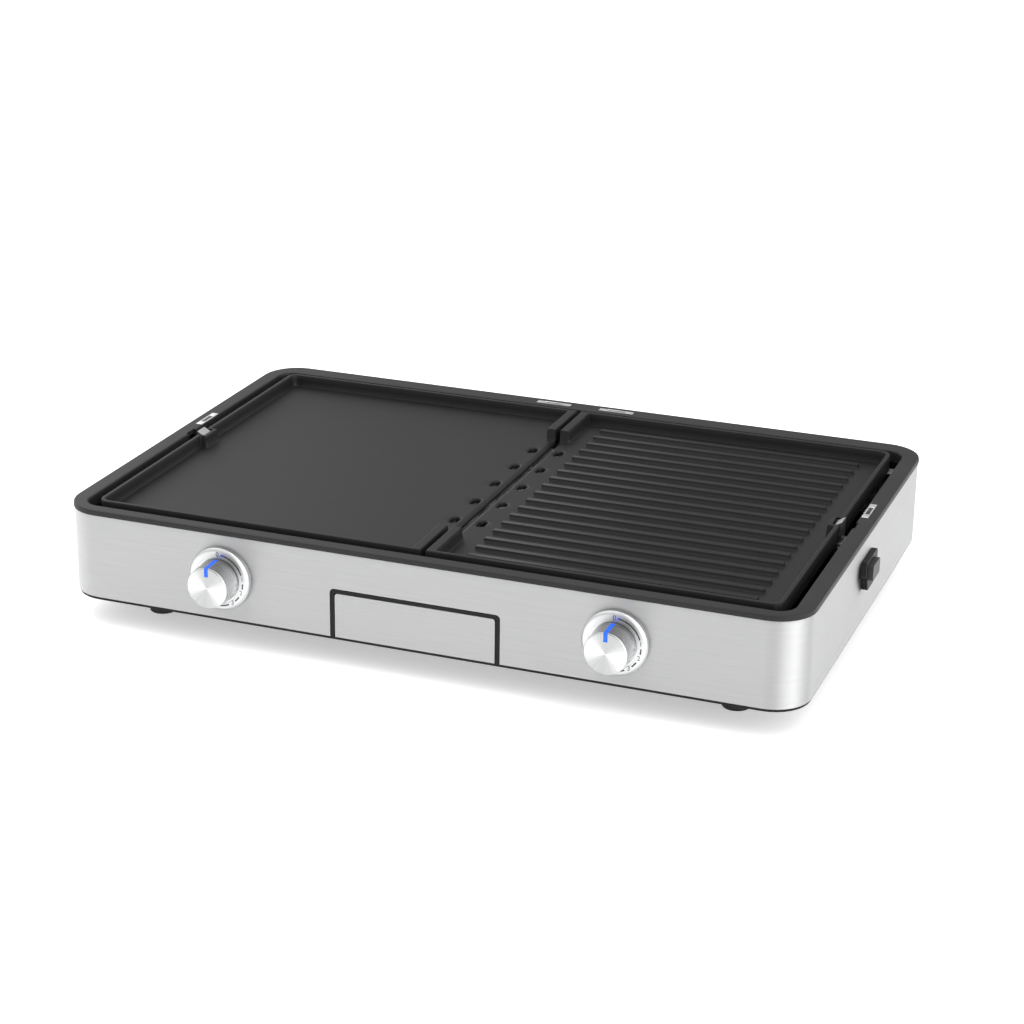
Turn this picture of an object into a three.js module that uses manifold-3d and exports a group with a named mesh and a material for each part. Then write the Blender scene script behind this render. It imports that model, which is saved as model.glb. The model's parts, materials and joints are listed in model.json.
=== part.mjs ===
// Two-zone electric griddle: a low steel housing, two lift-out cast plates (one flat, one ribbed),
// two lit knobs, a drip drawer in the front and a side button that frees each plate's latch.
// Millimetres, +Z up: x to the right as the cook sees it, y towards the back, z = 0 on the table.
import * as THREE from 'three';
import { mergeVertices } from 'three/addons/utils/BufferGeometryUtils.js';
import Module from 'manifold-3d';

const wasm = await Module();
wasm.setup();

// ---------------------------------------------------------------- driving dimensions

const fit = 0.3; // clearance between pieces that touch
const slide = 0.4; // clearance round pieces that move past each other

const shell = { width: 600, depth: 395, height: 68.8, corner: 30, sheet: 1.2, wrap: 35.5 };
const foot = { height: 22, topRadius: 12.5, radius: 11, fromSide: 61, fromEnd: 49, bore: 5, web: 4 };
const screw = { radius: 1.8, headRadius: 3.6, head: 2.4, length: 10 };
const base = { floor: 2.2, inset: 1, wall: 2.5, wallHeight: 10 };
const rim = {
  overhang: 0.8, height: 4.3, edge: 1.8, side: 14.2, front: 11.9, back: 18.3, corner: 13,
  skirt: 2, skirtDepth: 10, lip: 2, lipDepth: 5,
};
const socket = { length: 31, width: 5.6, depth: 10, slotLength: 16, slotWidth: 3.4, proud: 0.2, edge: 1.2 };
const socketPlace = { sideY: 33.4, rearX: 28.9 };
const plate = {
  proud: 1.4, depth: 10, floor: 4, wall: 4.5, innerWall: 7.2, centreGap: 4.4, sideGap: 9.6, endGap: 6.4,
  outerCorner: 9, innerCorner: 3, panCorner: 6, cheekLength: 55.3, lipRadius: 3.6,
};
const drain = { half: 3.6, long: 6.7, fromGap: 9.3, fromCheek: 33.5, offset: 3.2, count: 5 };
const rib = {
  count: 18, fromFront: 23.1, fromBack: 21.1, fromGap: 24.8, fromSide: 23.4, base: 6.8, top: 5.2, height: 3,
};
const pocket = { width: 16, depth: 6, wall: 3.5, cheek: 2.7 };
const latch = {
  y: -1.5, pivotHeight: 55, thickness: 3, width: 12.6, above: 1.8, nose: 6.4, noseDrop: 3.5, noseDepth: 2.4,
  armLength: 17, eye: 4.2, outside: 1.6,
};
const axle = { radius: 2, overhang: 1.1 };
const bracket = { ear: 1.5, sideGap: 0.7, plate: 1.9, wing: 7.5, height: 8.7, tab: 1.5 };
const button = {
  y: -11.25, height: 43.7, width: 22.5, tall: 12.5, proud: 8.7, travel: 4, flange: 2, flangeDepth: 2.8,
  arm: 5, armTall: 3, armGap: 0.8,
};
const bezel = {
  thickness: 4.5, width: 37.5, above: 10.8, below: 2.7, corner: 3, collar: 1.35,
  tongueWidth: 21.5, tongueBelow: 14.7,
};
const spring = { radius: 3.2, wire: 0.5, turns: 4 };
const knob = {
  x: 160, height: 34.6, radius: 16.6, baseRadius: 17.4, reach: 26, edge: 0.8, skirt: 1.2,
  bore: 3.3, boreDepth: 10,
};
const dial = { radius: 25.5, reach: 7, bevel: 1.8, bore: 6 };
const pointer = { width: 3, depth: 1.6, along: 7, baseGap: 1.6 };
const shaft = { radius: 3, inside: 10 };
const thermostat = { size: 30, depth: 26, bush: 4.6, bushReach: 5 };
const lamp = { width: 10, depth: 4, height: 6 };
const drawer = {
  half: 65.1, height: 35.9, corner: 2.5, panel: 2, trim: 3.35, trimDepth: 5, trimCorner: 3.5,
  trayHalf: 62.5, trayLength: 176, trayHeight: 30, trayWall: 1.5, trayCorner: 3.5,
};
const rail = { wall: 1.5, height: 9, foot: 9, footThickness: 1.5, front: 6 };
const bar = { flange: 12, thickness: 1.5, web: 7, fromSide: 4.2 };
const tray = { wall: 1, floorDrop: 15.2, fromCentre: 20, fromPlateSide: 15 };
const chute = { half: 17, wall: 1.2, fromCheek: 13.5, flange: 7, depth: 14, floorHalf: 6, outletHalf: 4.5 };
const outlet = { front: -60, back: -30 };
const element = { radius: 3.2, runs: 4, fromCentre: 49, fromSide: 45.8, endGap: 24, gap: 0.4 };
const gland = {
  x: 200, height: 21, flange: 12, flangeReach: 3, nose: 7, reach: 8.5, body: 8, inside: 12, bore: 3.6,
};
const block = { x: 160, width: 42, depth: 14, height: 16, fromBack: 6.5, step: 5 };

// ---------------------------------------------------------------- derived levels and lines

const zBase = foot.height; // underside of the base
const zFloor = zBase + base.floor; // top of the base floor
const zShell = zFloor + fit; // bottom edge of the steel
const zShellTop = zShell + shell.height;
const zRim = zShellTop + fit;
const zRimTop = zRim + rim.height;
const zPlateTop = zRimTop + plate.proud;
const zPan = zPlateTop - plate.depth; // cooking surface
const zPlateUnder = zPan - plate.floor;
const zBar = zPlateUnder - fit; // top of the support bars
const zTrayTop = zBar - bar.thickness - fit;
const halfW = shell.width / 2;
const yFront = -shell.depth / 2;
const yBack = shell.depth / 2;
const openX = halfW + rim.overhang - rim.side;
const openY = [yFront - rim.overhang + rim.front, yBack + rim.overhang - rim.back];
const plateX = [plate.centreGap / 2, openX - plate.sideGap];
const plateY = [openY[0] + plate.endGap, openY[1] - plate.endGap];
const plateMid = (plateY[0] + plateY[1]) / 2;
const lipHalf = (plateY[1] - plateY[0]) / 2 - plate.cheekLength;
const drainPitch = (2 * (lipHalf - drain.fromCheek)) / (drain.count - 1);
const ySeam = yFront + shell.wrap;
const zKnob = zShell + knob.height;
const zButton = zShell + button.height;
const zPivot = zShell + latch.pivotHeight;
const xStem = plateX[1] + latch.outside; // outer face of the latch hook's stem
const xPivot = xStem - latch.thickness / 2;
const drawerOpening = drawer.half + slide + drawer.trim; // half width of the hole's trim
const zDrawerTop = zShell + drawer.height;
const sides = [[-1, 'left'], [1, 'right']];

// ---------------------------------------------------------------- solids

function solid(geometry) {
  geometry.deleteAttribute('normal');
  geometry.deleteAttribute('uv');
  const merged = mergeVertices(geometry, 1e-4);
  const index = merged.index.array;
  const kept = [];
  for (let i = 0; i < index.length; i += 3) {
    const [a, b, c] = index.slice(i, i + 3);
    if (a !== b && b !== c && c !== a) kept.push(a, b, c);
  }
  const vertProperties = merged.attributes.position.array;
  return new wasm.Manifold(new wasm.Mesh({ numProp: 3, vertProperties, triVerts: new Uint32Array(kept) }));
}

const join = (first, ...rest) => rest.reduce((body, other) => body.add(other), first);
const cut = (first, ...rest) => rest.reduce((body, other) => body.subtract(other), first);

function spanBox(...spans) {
  const low = spans.map((span) => Math.min(...span));
  const size = spans.map((span, i) => Math.max(...span) - low[i]);
  const geometry = new THREE.BoxGeometry(...size);
  geometry.translate(...low.map((value, i) => value + size[i] / 2));
  return solid(geometry);
}

function polygon(points) {
  return new THREE.Shape(points.map(([u, v]) => new THREE.Vector2(u, v)));
}

// A rectangle with a radius for each corner: low-low, high-low, high-high, low-high.
function roundRect([u0, u1], [v0, v1], radii) {
  const [a, b, c, d] = Array.isArray(radii) ? radii : [radii, radii, radii, radii];
  const quarter = Math.PI / 2;
  const shape = new THREE.Shape();
  shape.moveTo(u0 + a, v0);
  shape.lineTo(u1 - b, v0);
  if (b) shape.absarc(u1 - b, v0 + b, b, -quarter, 0);
  shape.lineTo(u1, v1 - c);
  if (c) shape.absarc(u1 - c, v1 - c, c, 0, quarter);
  shape.lineTo(u0 + d, v1);
  if (d) shape.absarc(u0 + d, v1 - d, d, quarter, 2 * quarter);
  shape.lineTo(u0, v0 + a);
  if (a) shape.absarc(u0 + a, v0 + a, a, 2 * quarter, 3 * quarter);
  return shape;
}

const topCorners = (radius) => [0, 0, radius, radius];

// The housing's outline, moved inwards by inset.
function outline(inset) {
  return roundRect([-halfW + inset, halfW - inset], [yFront + inset, yBack - inset], shell.corner - inset);
}

function opening(grow) {
  return roundRect([-openX - grow, openX + grow], [openY[0] - grow, openY[1] + grow], rim.corner + grow);
}

function withHole(outer, inner) {
  outer.holes.push(inner);
  return outer;
}

const [axisX, axisY, axisZ] = [[1, 0, 0], [0, 1, 0], [0, 0, 1]].map((v) => new THREE.Vector3(...v));
const drawnOn = {
  z: new THREE.Matrix4(), // drawn in x-y
  y: new THREE.Matrix4().makeBasis(axisX, axisZ, axisY.clone().negate()), // drawn in x-z
  x: new THREE.Matrix4().makeBasis(axisY, axisZ, axisX), // drawn in y-z
};

// An outline given a thickness along one axis.
function slab(axis, [from, to], shape, curveSegments = 3) {
  const geometry = new THREE.ExtrudeGeometry(shape, { depth: to - from, bevelEnabled: false, curveSegments });
  geometry.applyMatrix4(drawnOn[axis]);
  const start = { x: [from, 0, 0], y: [0, to, 0], z: [0, 0, from] }[axis];
  return solid(geometry.translate(...start));
}

function rod(axis, radius, [from, to], centre, count = 16) {
  const geometry = new THREE.CylinderGeometry(radius, radius, to - from, count);
  if (axis === 'x') geometry.rotateZ(-Math.PI / 2);
  if (axis === 'z') geometry.rotateX(Math.PI / 2);
  const middle = (from + to) / 2;
  const [u, v] = centre;
  const place = { x: [middle, u, v], y: [u, middle, v], z: [u, v, middle] }[axis];
  return solid(geometry.translate(...place));
}

// A turned piece standing on z; its profile is a list of [radius, height].
function turned(profile, count) {
  const points = profile.map(([radius, height]) => new THREE.Vector2(radius, height));
  return new THREE.LatheGeometry(points, count);
}
const turnedUp = (profile, count = 24) => solid(turned(profile, count).rotateX(Math.PI / 2));
const turnedToFront = (profile, count = 32) => solid(turned(profile, count).rotateX(Math.PI));

const mirrored = (side, points) => points.map(([x, z]) => [side * x, z]);

// ---------------------------------------------------------------- scene

const finishes = {
  steel: { color: 0xc4c6c8, roughness: 0.32, metalness: 1 },
  aluminium: { color: 0xd6d8da, roughness: 0.3, metalness: 1 },
  chrome: { color: 0xe2e4e6, roughness: 0.12, metalness: 1 },
  zinc: { color: 0xa9acae, roughness: 0.45, metalness: 1 },
  cast: { color: 0x2c2d2e, roughness: 0.6, metalness: 0.2 },
  rim: { color: 0x3a3b3c, roughness: 0.55, metalness: 0 },
  plastic: { color: 0x161718, roughness: 0.5, metalness: 0 },
  rubber: { color: 0x101112, roughness: 0.85, metalness: 0 },
  light: { color: 0x0a4cff, roughness: 0.25, metalness: 0 },
  ceramic: { color: 0xe8e4da, roughness: 0.6, metalness: 0 },
};

const griddle = new THREE.Group();

function place(name, finish, body, position = [0, 0, 0]) {
  const { vertProperties, triVerts } = body.getMesh();
  const geometry = new THREE.BufferGeometry();
  geometry.setAttribute('position', new THREE.BufferAttribute(vertProperties, 3));
  geometry.setIndex(new THREE.BufferAttribute(triVerts, 1));
  const material = new THREE.MeshStandardMaterial({ ...finishes[finish], flatShading: true });
  const mesh = new THREE.Mesh(geometry, material);
  mesh.name = name;
  mesh.position.set(...position);
  griddle.add(mesh);
}

// ---------------------------------------------------------------- housing

const far = shell.width + shell.depth; // longer than any cut has to be

function addShell() {
  const band = slab('z', [zShell, zShellTop], withHole(outline(0), outline(shell.sheet)), 4);
  const front = band.intersect(spanBox([-far, far], [-far, ySeam - fit / 2], [0, far]));
  const rear = band.intersect(spanBox([-far, far], [ySeam + fit / 2, far], [0, far]));
  const hole = drawerOpening + fit;
  const drawerHole = slab('y', [yFront - 5, yFront + 5],
    roundRect([-hole, hole], [0, zDrawerTop + drawer.trim + fit], topCorners(drawer.trimCorner)));
  const shaftHoles = sides.map(([side]) => (
    rod('y', thermostat.bush + slide, [yFront - 5, yFront + 5], [side * knob.x, zKnob])));
  place('front_panel', 'steel', cut(front, drawerHole, ...shaftHoles));
  const halfWide = button.width / 2 + slide;
  const halfTall = button.tall / 2 + slide;
  const buttonHoles = spanBox([-far, far], [button.y - halfWide, button.y + halfWide],
    [zButton - halfTall, zButton + halfTall]);
  const glandHole = rod('y', gland.body + fit, [yBack - 5, yBack + 5], [gland.x, zShell + gland.height]);
  place('rear_wrap_panel', 'steel', cut(rear, buttonHoles, glandHole));
}

function socketCentres() {
  const yRear = (openY[1] + yBack + rim.overhang) / 2 - socket.edge / 2;
  const xSide = openX + socket.edge + socket.width / 2;
  return [
    ['guard_socket_left', -xSide, socketPlace.sideY, 'y'],
    ['guard_socket_right', xSide, socketPlace.sideY, 'y'],
    ['guard_socket_rear_left', -socketPlace.rearX, yRear, 'x'],
    ['guard_socket_rear_right', socketPlace.rearX, yRear, 'x'],
  ];
}

function socketBox([x, y, along], length, width, [z0, z1]) {
  const [dx, dy] = along === 'x' ? [length, width] : [width, length];
  return spanBox([x - dx / 2, x + dx / 2], [y - dy / 2, y + dy / 2], [z0, z1]);
}

function addRim() {
  const edge = rim.edge;
  const flat = slab('z', [zRim, zRimTop - edge], withHole(outline(-rim.overhang), opening(0)), 4);
  const bevelled = new THREE.ExtrudeGeometry(withHole(outline(-rim.overhang), opening(0)), {
    depth: fit, bevelThickness: edge, bevelSize: edge, bevelOffset: -edge, bevelSegments: 2, curveSegments: 4,
  });
  const crown = solid(bevelled.translate(0, 0, zRimTop - edge - fit));
  const skirt = slab('z', [zRimTop - rim.skirtDepth, zRim + edge], withHole(opening(rim.skirt), opening(0)));
  const lipInset = shell.sheet + fit;
  const lip = slab('z', [zShellTop - rim.lipDepth, zRim + edge],
    withHole(outline(lipInset), outline(lipInset + rim.lip)), 4);
  const pockets = socketCentres().map(([, ...centre]) => (
    socketBox(centre, socket.length + 2 * fit, socket.width + 2 * fit, [0, far])));
  const notchHalf = latch.width / 2 + slide;
  const notchReach = openX + rim.skirt + slide;
  const notches = spanBox([-notchReach, notchReach], [latch.y - notchHalf, latch.y + notchHalf], [0, far]);
  place('top_rim', 'rim', cut(join(flat, crown, skirt, lip), ...pockets, notches));
}

function addGuardSockets() {
  for (const [name, ...centre] of socketCentres()) {
    const depth = [zRimTop - socket.depth, zRimTop + socket.proud];
    const sleeve = socketBox(centre, socket.length, socket.width, depth);
    const slot = socketBox(centre, socket.slotLength, socket.slotWidth, [0, far]);
    place(name, 'chrome', cut(sleeve, slot));
  }
}

function footCentres() {
  const x = halfW - foot.fromSide;
  const y = yBack - foot.fromEnd;
  return [['front_left', -x, -y], ['front_right', x, -y], ['rear_left', -x, y], ['rear_right', x, y]];
}

function addBase() {
  const floor = slab('z', [zBase, zFloor], outline(base.inset), 4);
  const inset = shell.sheet + fit;
  const wall = slab('z', [zFloor - 1, zFloor + base.wallHeight],
    withHole(outline(inset), outline(inset + base.wall)), 4);
  const drawerGap = drawerOpening + 2;
  const notch = spanBox([-drawerGap, drawerGap], [yFront - 5, yFront + 2 * base.wall + inset], [zFloor, far]);
  const screwHoles = footCentres().map(([, x, y]) => rod('z', screw.radius + fit, [0, far], [x, y], 12));
  place('base_pan', 'plastic', cut(join(floor, wall), notch, ...screwHoles));
}

function addFeet() {
  const top = zBase - fit;
  for (const [name, x, y] of footCentres()) {
    const body = turnedUp([[0, 0], [foot.radius, 0], [foot.topRadius, top], [0, top]]);
    const bore = rod('z', foot.bore, [-1, top - foot.web], [0, 0]);
    const hole = rod('z', screw.radius + fit, [0, far], [0, 0], 12);
    place(`foot_${name}`, 'rubber', cut(body, bore, hole), [x, y, 0]);
    const headTop = top - foot.web - fit;
    const pan = rod('z', screw.headRadius, [headTop - screw.head, headTop], [0, 0]);
    const shank = rod('z', screw.radius, [headTop - 1, headTop + screw.length], [0, 0], 12);
    const drive = spanBox([-2, 2], [-0.5, 0.5], [headTop - screw.head - 1, headTop - 1.4]);
    place(`foot_screw_${name}`, 'zinc', cut(join(pan, shank), drive), [x, y, 0]);
  }
}

// ---------------------------------------------------------------- drawer

function addDrawer() {
  const panel = roundRect([-drawer.half, drawer.half], [zShell, zDrawerTop], topCorners(drawer.corner));
  place('drawer_front', 'steel', slab('y', [yFront, yFront + drawer.panel], panel));
  const y0 = yFront + drawer.panel + fit;
  const y1 = y0 + drawer.trayLength;
  const z0 = zShell + fit;
  const z1 = z0 + drawer.trayHeight;
  const wall = drawer.trayWall;
  const half = drawer.trayHalf;
  const body = slab('z', [z0, z1], roundRect([-half, half], [y0, y1], drawer.trayCorner));
  const inside = roundRect([wall - half, half - wall], [y0 + wall, y1 - wall], drawer.trayCorner - wall);
  place('drawer_tray', 'plastic', cut(body, slab('z', [z0 + wall, z1 + 1], inside)));

  const outer = roundRect([-drawerOpening, drawerOpening], [zShell, zDrawerTop + drawer.trim],
    topCorners(drawer.trimCorner));
  const innerHalf = drawer.half + slide;
  const inner = roundRect([-innerHalf, innerHalf], [0, zDrawerTop + slide], topCorners(drawer.corner));
  const ring = slab('y', [yFront, yFront + drawer.trimDepth], outer);
  place('drawer_trim', 'plastic', cut(ring, slab('y', [yFront - 1, yFront + 10], inner)));

  const x0 = drawer.trayHalf + slide;
  for (const [side, word] of sides) {
    const angle = polygon(mirrored(side, [
      [x0, zShell], [x0 + rail.foot, zShell], [x0 + rail.foot, zShell + rail.footThickness],
      [x0 + rail.wall, zShell + rail.footThickness], [x0 + rail.wall, zShell + rail.height],
      [x0, zShell + rail.height],
    ]));
    place(`drawer_rail_${word}`, 'zinc', slab('y', [y0 + rail.front, y1], angle));
  }
}

// ---------------------------------------------------------------- knobs and controls

// The knob and all that is on its axis are drawn about the origin, with z pointing away from the panel.
function addControls() {
  const sideRadius = (reach) => (
    knob.baseRadius - ((knob.baseRadius - knob.radius) * (reach - dial.reach)) / (knob.reach - dial.reach));
  const foot0 = dial.reach + fit;
  const knobBody = turnedToFront([
    [0, foot0], [knob.baseRadius, foot0], [knob.baseRadius, foot0 + knob.skirt],
    [knob.radius, knob.reach - knob.edge], [knob.radius - knob.edge, knob.reach], [0, knob.reach],
  ], 40);
  const bore = rod('y', knob.bore, [-foot0 - knob.boreDepth, 0], [0, 0]);
  const half = pointer.width / 2 + fit;
  const floor = knob.radius - pointer.depth;
  const tip = knob.radius - pointer.along;
  const legStart = foot0 + pointer.baseGap;
  const sideSlot = spanBox([-half, half], [-far, fit - legStart], [floor - fit, far]);
  const faceSlot = spanBox([-half, half], [-far, pointer.depth + fit - knob.reach], [tip - fit, far]);
  const pipe = slab('x', [-pointer.width / 2, pointer.width / 2], polygon([
    [-legStart, floor], [-legStart, sideRadius(legStart)], [knob.edge - knob.reach, knob.radius],
    [-knob.reach, knob.radius - knob.edge], [-knob.reach, tip], [pointer.depth - knob.reach, tip],
    [pointer.depth - knob.reach, floor],
  ]));
  const ring = turnedToFront([
    [dial.bore, fit], [dial.radius, fit], [dial.radius, dial.reach - dial.bevel],
    [dial.radius - dial.bevel, dial.reach], [dial.bore, dial.reach], [dial.bore, fit],
  ], 48);
  const behind = shell.sheet + fit;
  const size = thermostat.size / 2;
  const housing = spanBox([-size, size], [behind, behind + thermostat.depth], [-size, size]);
  const bush = rod('y', thermostat.bush, [-thermostat.bushReach, behind + 1], [0, 0]);
  const seat = rod('y', shaft.radius + fit, [-thermostat.bushReach - 1, shaft.inside + fit], [0, 0]);
  const stem = rod('y', shaft.radius, [fit - foot0 - knob.boreDepth, shaft.inside], [0, 0]);
  const zLamp = size + fit;
  const lampBody = spanBox([-lamp.width / 2, lamp.width / 2], [behind, behind + lamp.depth],
    [zLamp, zLamp + lamp.height]);
  for (const [side, word] of sides) {
    const at = [side * knob.x, yFront, zKnob];
    place(`knob_${word}`, 'aluminium', cut(knobBody, bore, sideSlot, faceSlot), at);
    place(`knob_pointer_${word}`, 'light', pipe, at);
    place(`dial_ring_${word}`, 'aluminium', ring, at);
    place(`knob_shaft_${word}`, 'zinc', stem, at);
    place(`thermostat_${word}`, 'plastic', cut(join(housing, bush), seat), at);
    place(`pointer_lamp_${word}`, 'ceramic', lampBody, at);
  }
}

// ---------------------------------------------------------------- plates

function plateBlank(side) {
  const [x0, x1] = plateX;
  const span = (a, b) => [side * a, side * b].sort((p, q) => p - q);
  const radii = (inner, outer) => (side > 0 ? [inner, outer, outer, inner] : [outer, inner, inner, outer]);
  const block = slab('z', [zPlateUnder, zPlateTop],
    roundRect(span(x0, x1), plateY, radii(plate.innerCorner, plate.outerCorner)));
  const pan = slab('z', [zPan, far], roundRect(span(x0 + plate.innerWall, x1 - plate.wall),
    [plateY[0] + plate.wall, plateY[1] - plate.wall], plate.panCorner));
  const lipY = [plateMid - lipHalf, plateMid + lipHalf];
  const lip = spanBox(span(x0 - 1, x0 + plate.innerWall + plate.panCorner), lipY, [zPan, far]);
  const r = plate.lipRadius;
  const spout = slab('y', lipY, polygon(mirrored(side, [
    [x0 - 1, zPan + 1], [x0 + r, zPan + 1], [x0 + r, zPan], [x0 + r * 0.3, zPan - r * 0.3],
    [x0, zPan - r], [x0 - 1, zPan - r],
  ])));
  const outside = pocket.width / 2 + pocket.cheek;
  const boss = spanBox(span(x1 - pocket.depth - pocket.wall, x1), [latch.y - outside, latch.y + outside],
    [zPan - 1, zPlateTop]);
  const half = pocket.width / 2;
  const recess = spanBox(span(x1 - pocket.depth, x1 + 1), [latch.y - half, latch.y + half], [0, far]);
  const drains = [];
  for (let i = 0; i < drain.count; i += 1) {
    const y = plateMid + drain.offset + (i - (drain.count - 1) / 2) * drainPitch;
    const across = span(x0 + drain.fromGap - drain.half, x0 + drain.fromGap + drain.half);
    drains.push(slab('z', [0, far], roundRect(across, [y - drain.long, y + drain.long], drain.half - 0.4), 4));
  }
  return cut(join(cut(block, pan, lip, spout), boss), recess, ...drains);
}

function plateRibs(side) {
  const [x0, x1] = [plateX[0] + rib.fromGap, plateX[1] - rib.fromSide];
  const bars = [];
  const [first, last] = [plateY[0] + rib.fromFront, plateY[1] - rib.fromBack];
  for (let i = 0; i < rib.count; i += 1) {
    const y = first + ((last - first) * i) / (rib.count - 1);
    const [b, t, h] = [rib.base / 2, rib.top / 2, rib.height];
    const section = polygon([
      [y - b, zPan - 1], [y + b, zPan - 1], [y + t, zPan + h - 0.5], [y + t - 0.5, zPan + h],
      [y - t + 0.5, zPan + h], [y - t, zPan + h - 0.5],
    ]);
    bars.push(slab('x', [side * x0, side * x1].sort((p, q) => p - q), section));
  }
  return bars;
}

function addPlates() {
  place('flat_plate', 'cast', plateBlank(-1));
  place('ribbed_plate', 'cast', join(plateBlank(1), ...plateRibs(1)));
}

// ---------------------------------------------------------------- heat and grease below the plates

function serpentine(side) {
  const first = plateX[0] + element.fromCentre;
  const pitch = (plateX[1] - element.fromSide - first) / (element.runs - 1);
  const xs = Array.from({ length: element.runs }, (_, i) => side * (first + i * pitch));
  const radius = pitch / 2;
  const yLow = plateY[0] + plate.wall + element.endGap + radius;
  const yHigh = plateY[1] - plate.wall - element.endGap - radius;
  const z = zPlateUnder - element.gap - element.radius;
  const points = [];
  xs.forEach((x, i) => {
    const [from, to] = i % 2 ? [yLow, yHigh] : [yHigh, yLow];
    const steps = 4;
    for (let s = 0; s <= steps; s += 1) points.push([x, from + ((to - from) * s) / steps]);
    if (i === xs.length - 1) return;
    const bend = i % 2 ? 1 : -1;
    for (let s = 1; s < 6; s += 1) {
      const angle = (Math.PI * s) / 6;
      points.push([x + side * radius * (1 - Math.cos(angle)), to + bend * radius * Math.sin(angle)]);
    }
  });
  return new THREE.CatmullRomCurve3(points.map(([x, y]) => new THREE.Vector3(x, y, z)), false, 'centripetal');
}

function addHeat() {
  const section = new THREE.Shape();
  section.absarc(0, 0, element.radius, 0, 2 * Math.PI);
  for (const [side, word] of sides) {
    const path = { extrudePath: serpentine(side), steps: 72, curveSegments: 3, bevelEnabled: false };
    place(`heating_element_${word}`, 'zinc', solid(new THREE.ExtrudeGeometry(section, path)));
    const span = (a, b) => [side * a, side * b];
    const [x0, x1] = [tray.fromCentre, plateX[1] - tray.fromPlateSide];
    const [y0, y1] = [plateY[0] + plate.wall + bar.flange, plateY[1] - plate.wall - bar.flange];
    const zLow = zTrayTop - tray.floorDrop;
    const w = tray.wall;
    const outer = spanBox(span(x0, x1), [y0, y1], [zLow, zTrayTop]);
    const inner = spanBox(span(x0 + w, x1 - w), [y0 + w, y1 - w], [zLow + w, far]);
    const ledge = bar.flange - bar.thickness;
    const ledges = spanBox(span(x0, x1), [y0 - ledge, y1 + ledge], [zTrayTop - w, zTrayTop]);
    place(`heat_reflector_${word}`, 'zinc', cut(join(outer, ledges), inner));
  }
}

function addSupportBars() {
  const half = halfW - bar.fromSide;
  const rows = [['front', plateY[0] + 2, 1], ['rear', plateY[1] - 2, -1]];
  for (const [word, y, inward] of rows) {
    const web = [y, y + inward * bar.thickness];
    const flange = spanBox([-half, half], [y, y + inward * bar.flange], [zBar - bar.thickness, zBar]);
    const upright = spanBox([-half, half], web, [zBar - bar.web, zBar]);
    const ends = sides.map(([side]) => spanBox(
      [side * half, side * (half - bar.thickness)], [y, y + inward * bar.flange], [zBar - bar.web, zBar]));
    place(`plate_support_${word}`, 'zinc', join(flange, upright, ...ends));
  }
}

function addChute() {
  const [h, f, w] = [chute.half, chute.floorHalf, chute.wall];
  const zTop = zTrayTop + fit + w;
  const zLow = zTop - chute.depth;
  const zBend = zTop - chute.depth / 2;
  const length = lipHalf - chute.fromCheek;
  const y = [plateMid + drain.offset - length, plateMid + drain.offset + length];
  const outer = slab('y', y, polygon([
    [-f, zLow], [f, zLow], [h, zBend], [h, zTop], [-h, zTop], [-h, zBend],
  ]));
  const inner = slab('y', [y[0] + w, y[1] - w], polygon([
    [w / 2 - f, zLow + w], [f - w / 2, zLow + w], [h - w, zBend + w / 2], [h - w, zTop + 1],
    [w - h, zTop + 1], [w - h, zBend + w / 2],
  ]));
  const brim = spanBox([-h - chute.flange, h + chute.flange], y, [zTop - w, zTop]);
  const drop = spanBox([-chute.outletHalf, chute.outletHalf], [outlet.front, outlet.back], [0, zBend]);
  place('grease_chute', 'zinc', cut(join(outer, brim), inner, drop));
}

// ---------------------------------------------------------------- plate latches

function helix(length, radius, turns) {
  const curve = new THREE.Curve();
  curve.getPoint = (t, target = new THREE.Vector3()) => {
    const angle = 2 * Math.PI * turns * t;
    return target.set(length * t, radius * Math.cos(angle), radius * Math.sin(angle));
  };
  return curve;
}

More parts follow.
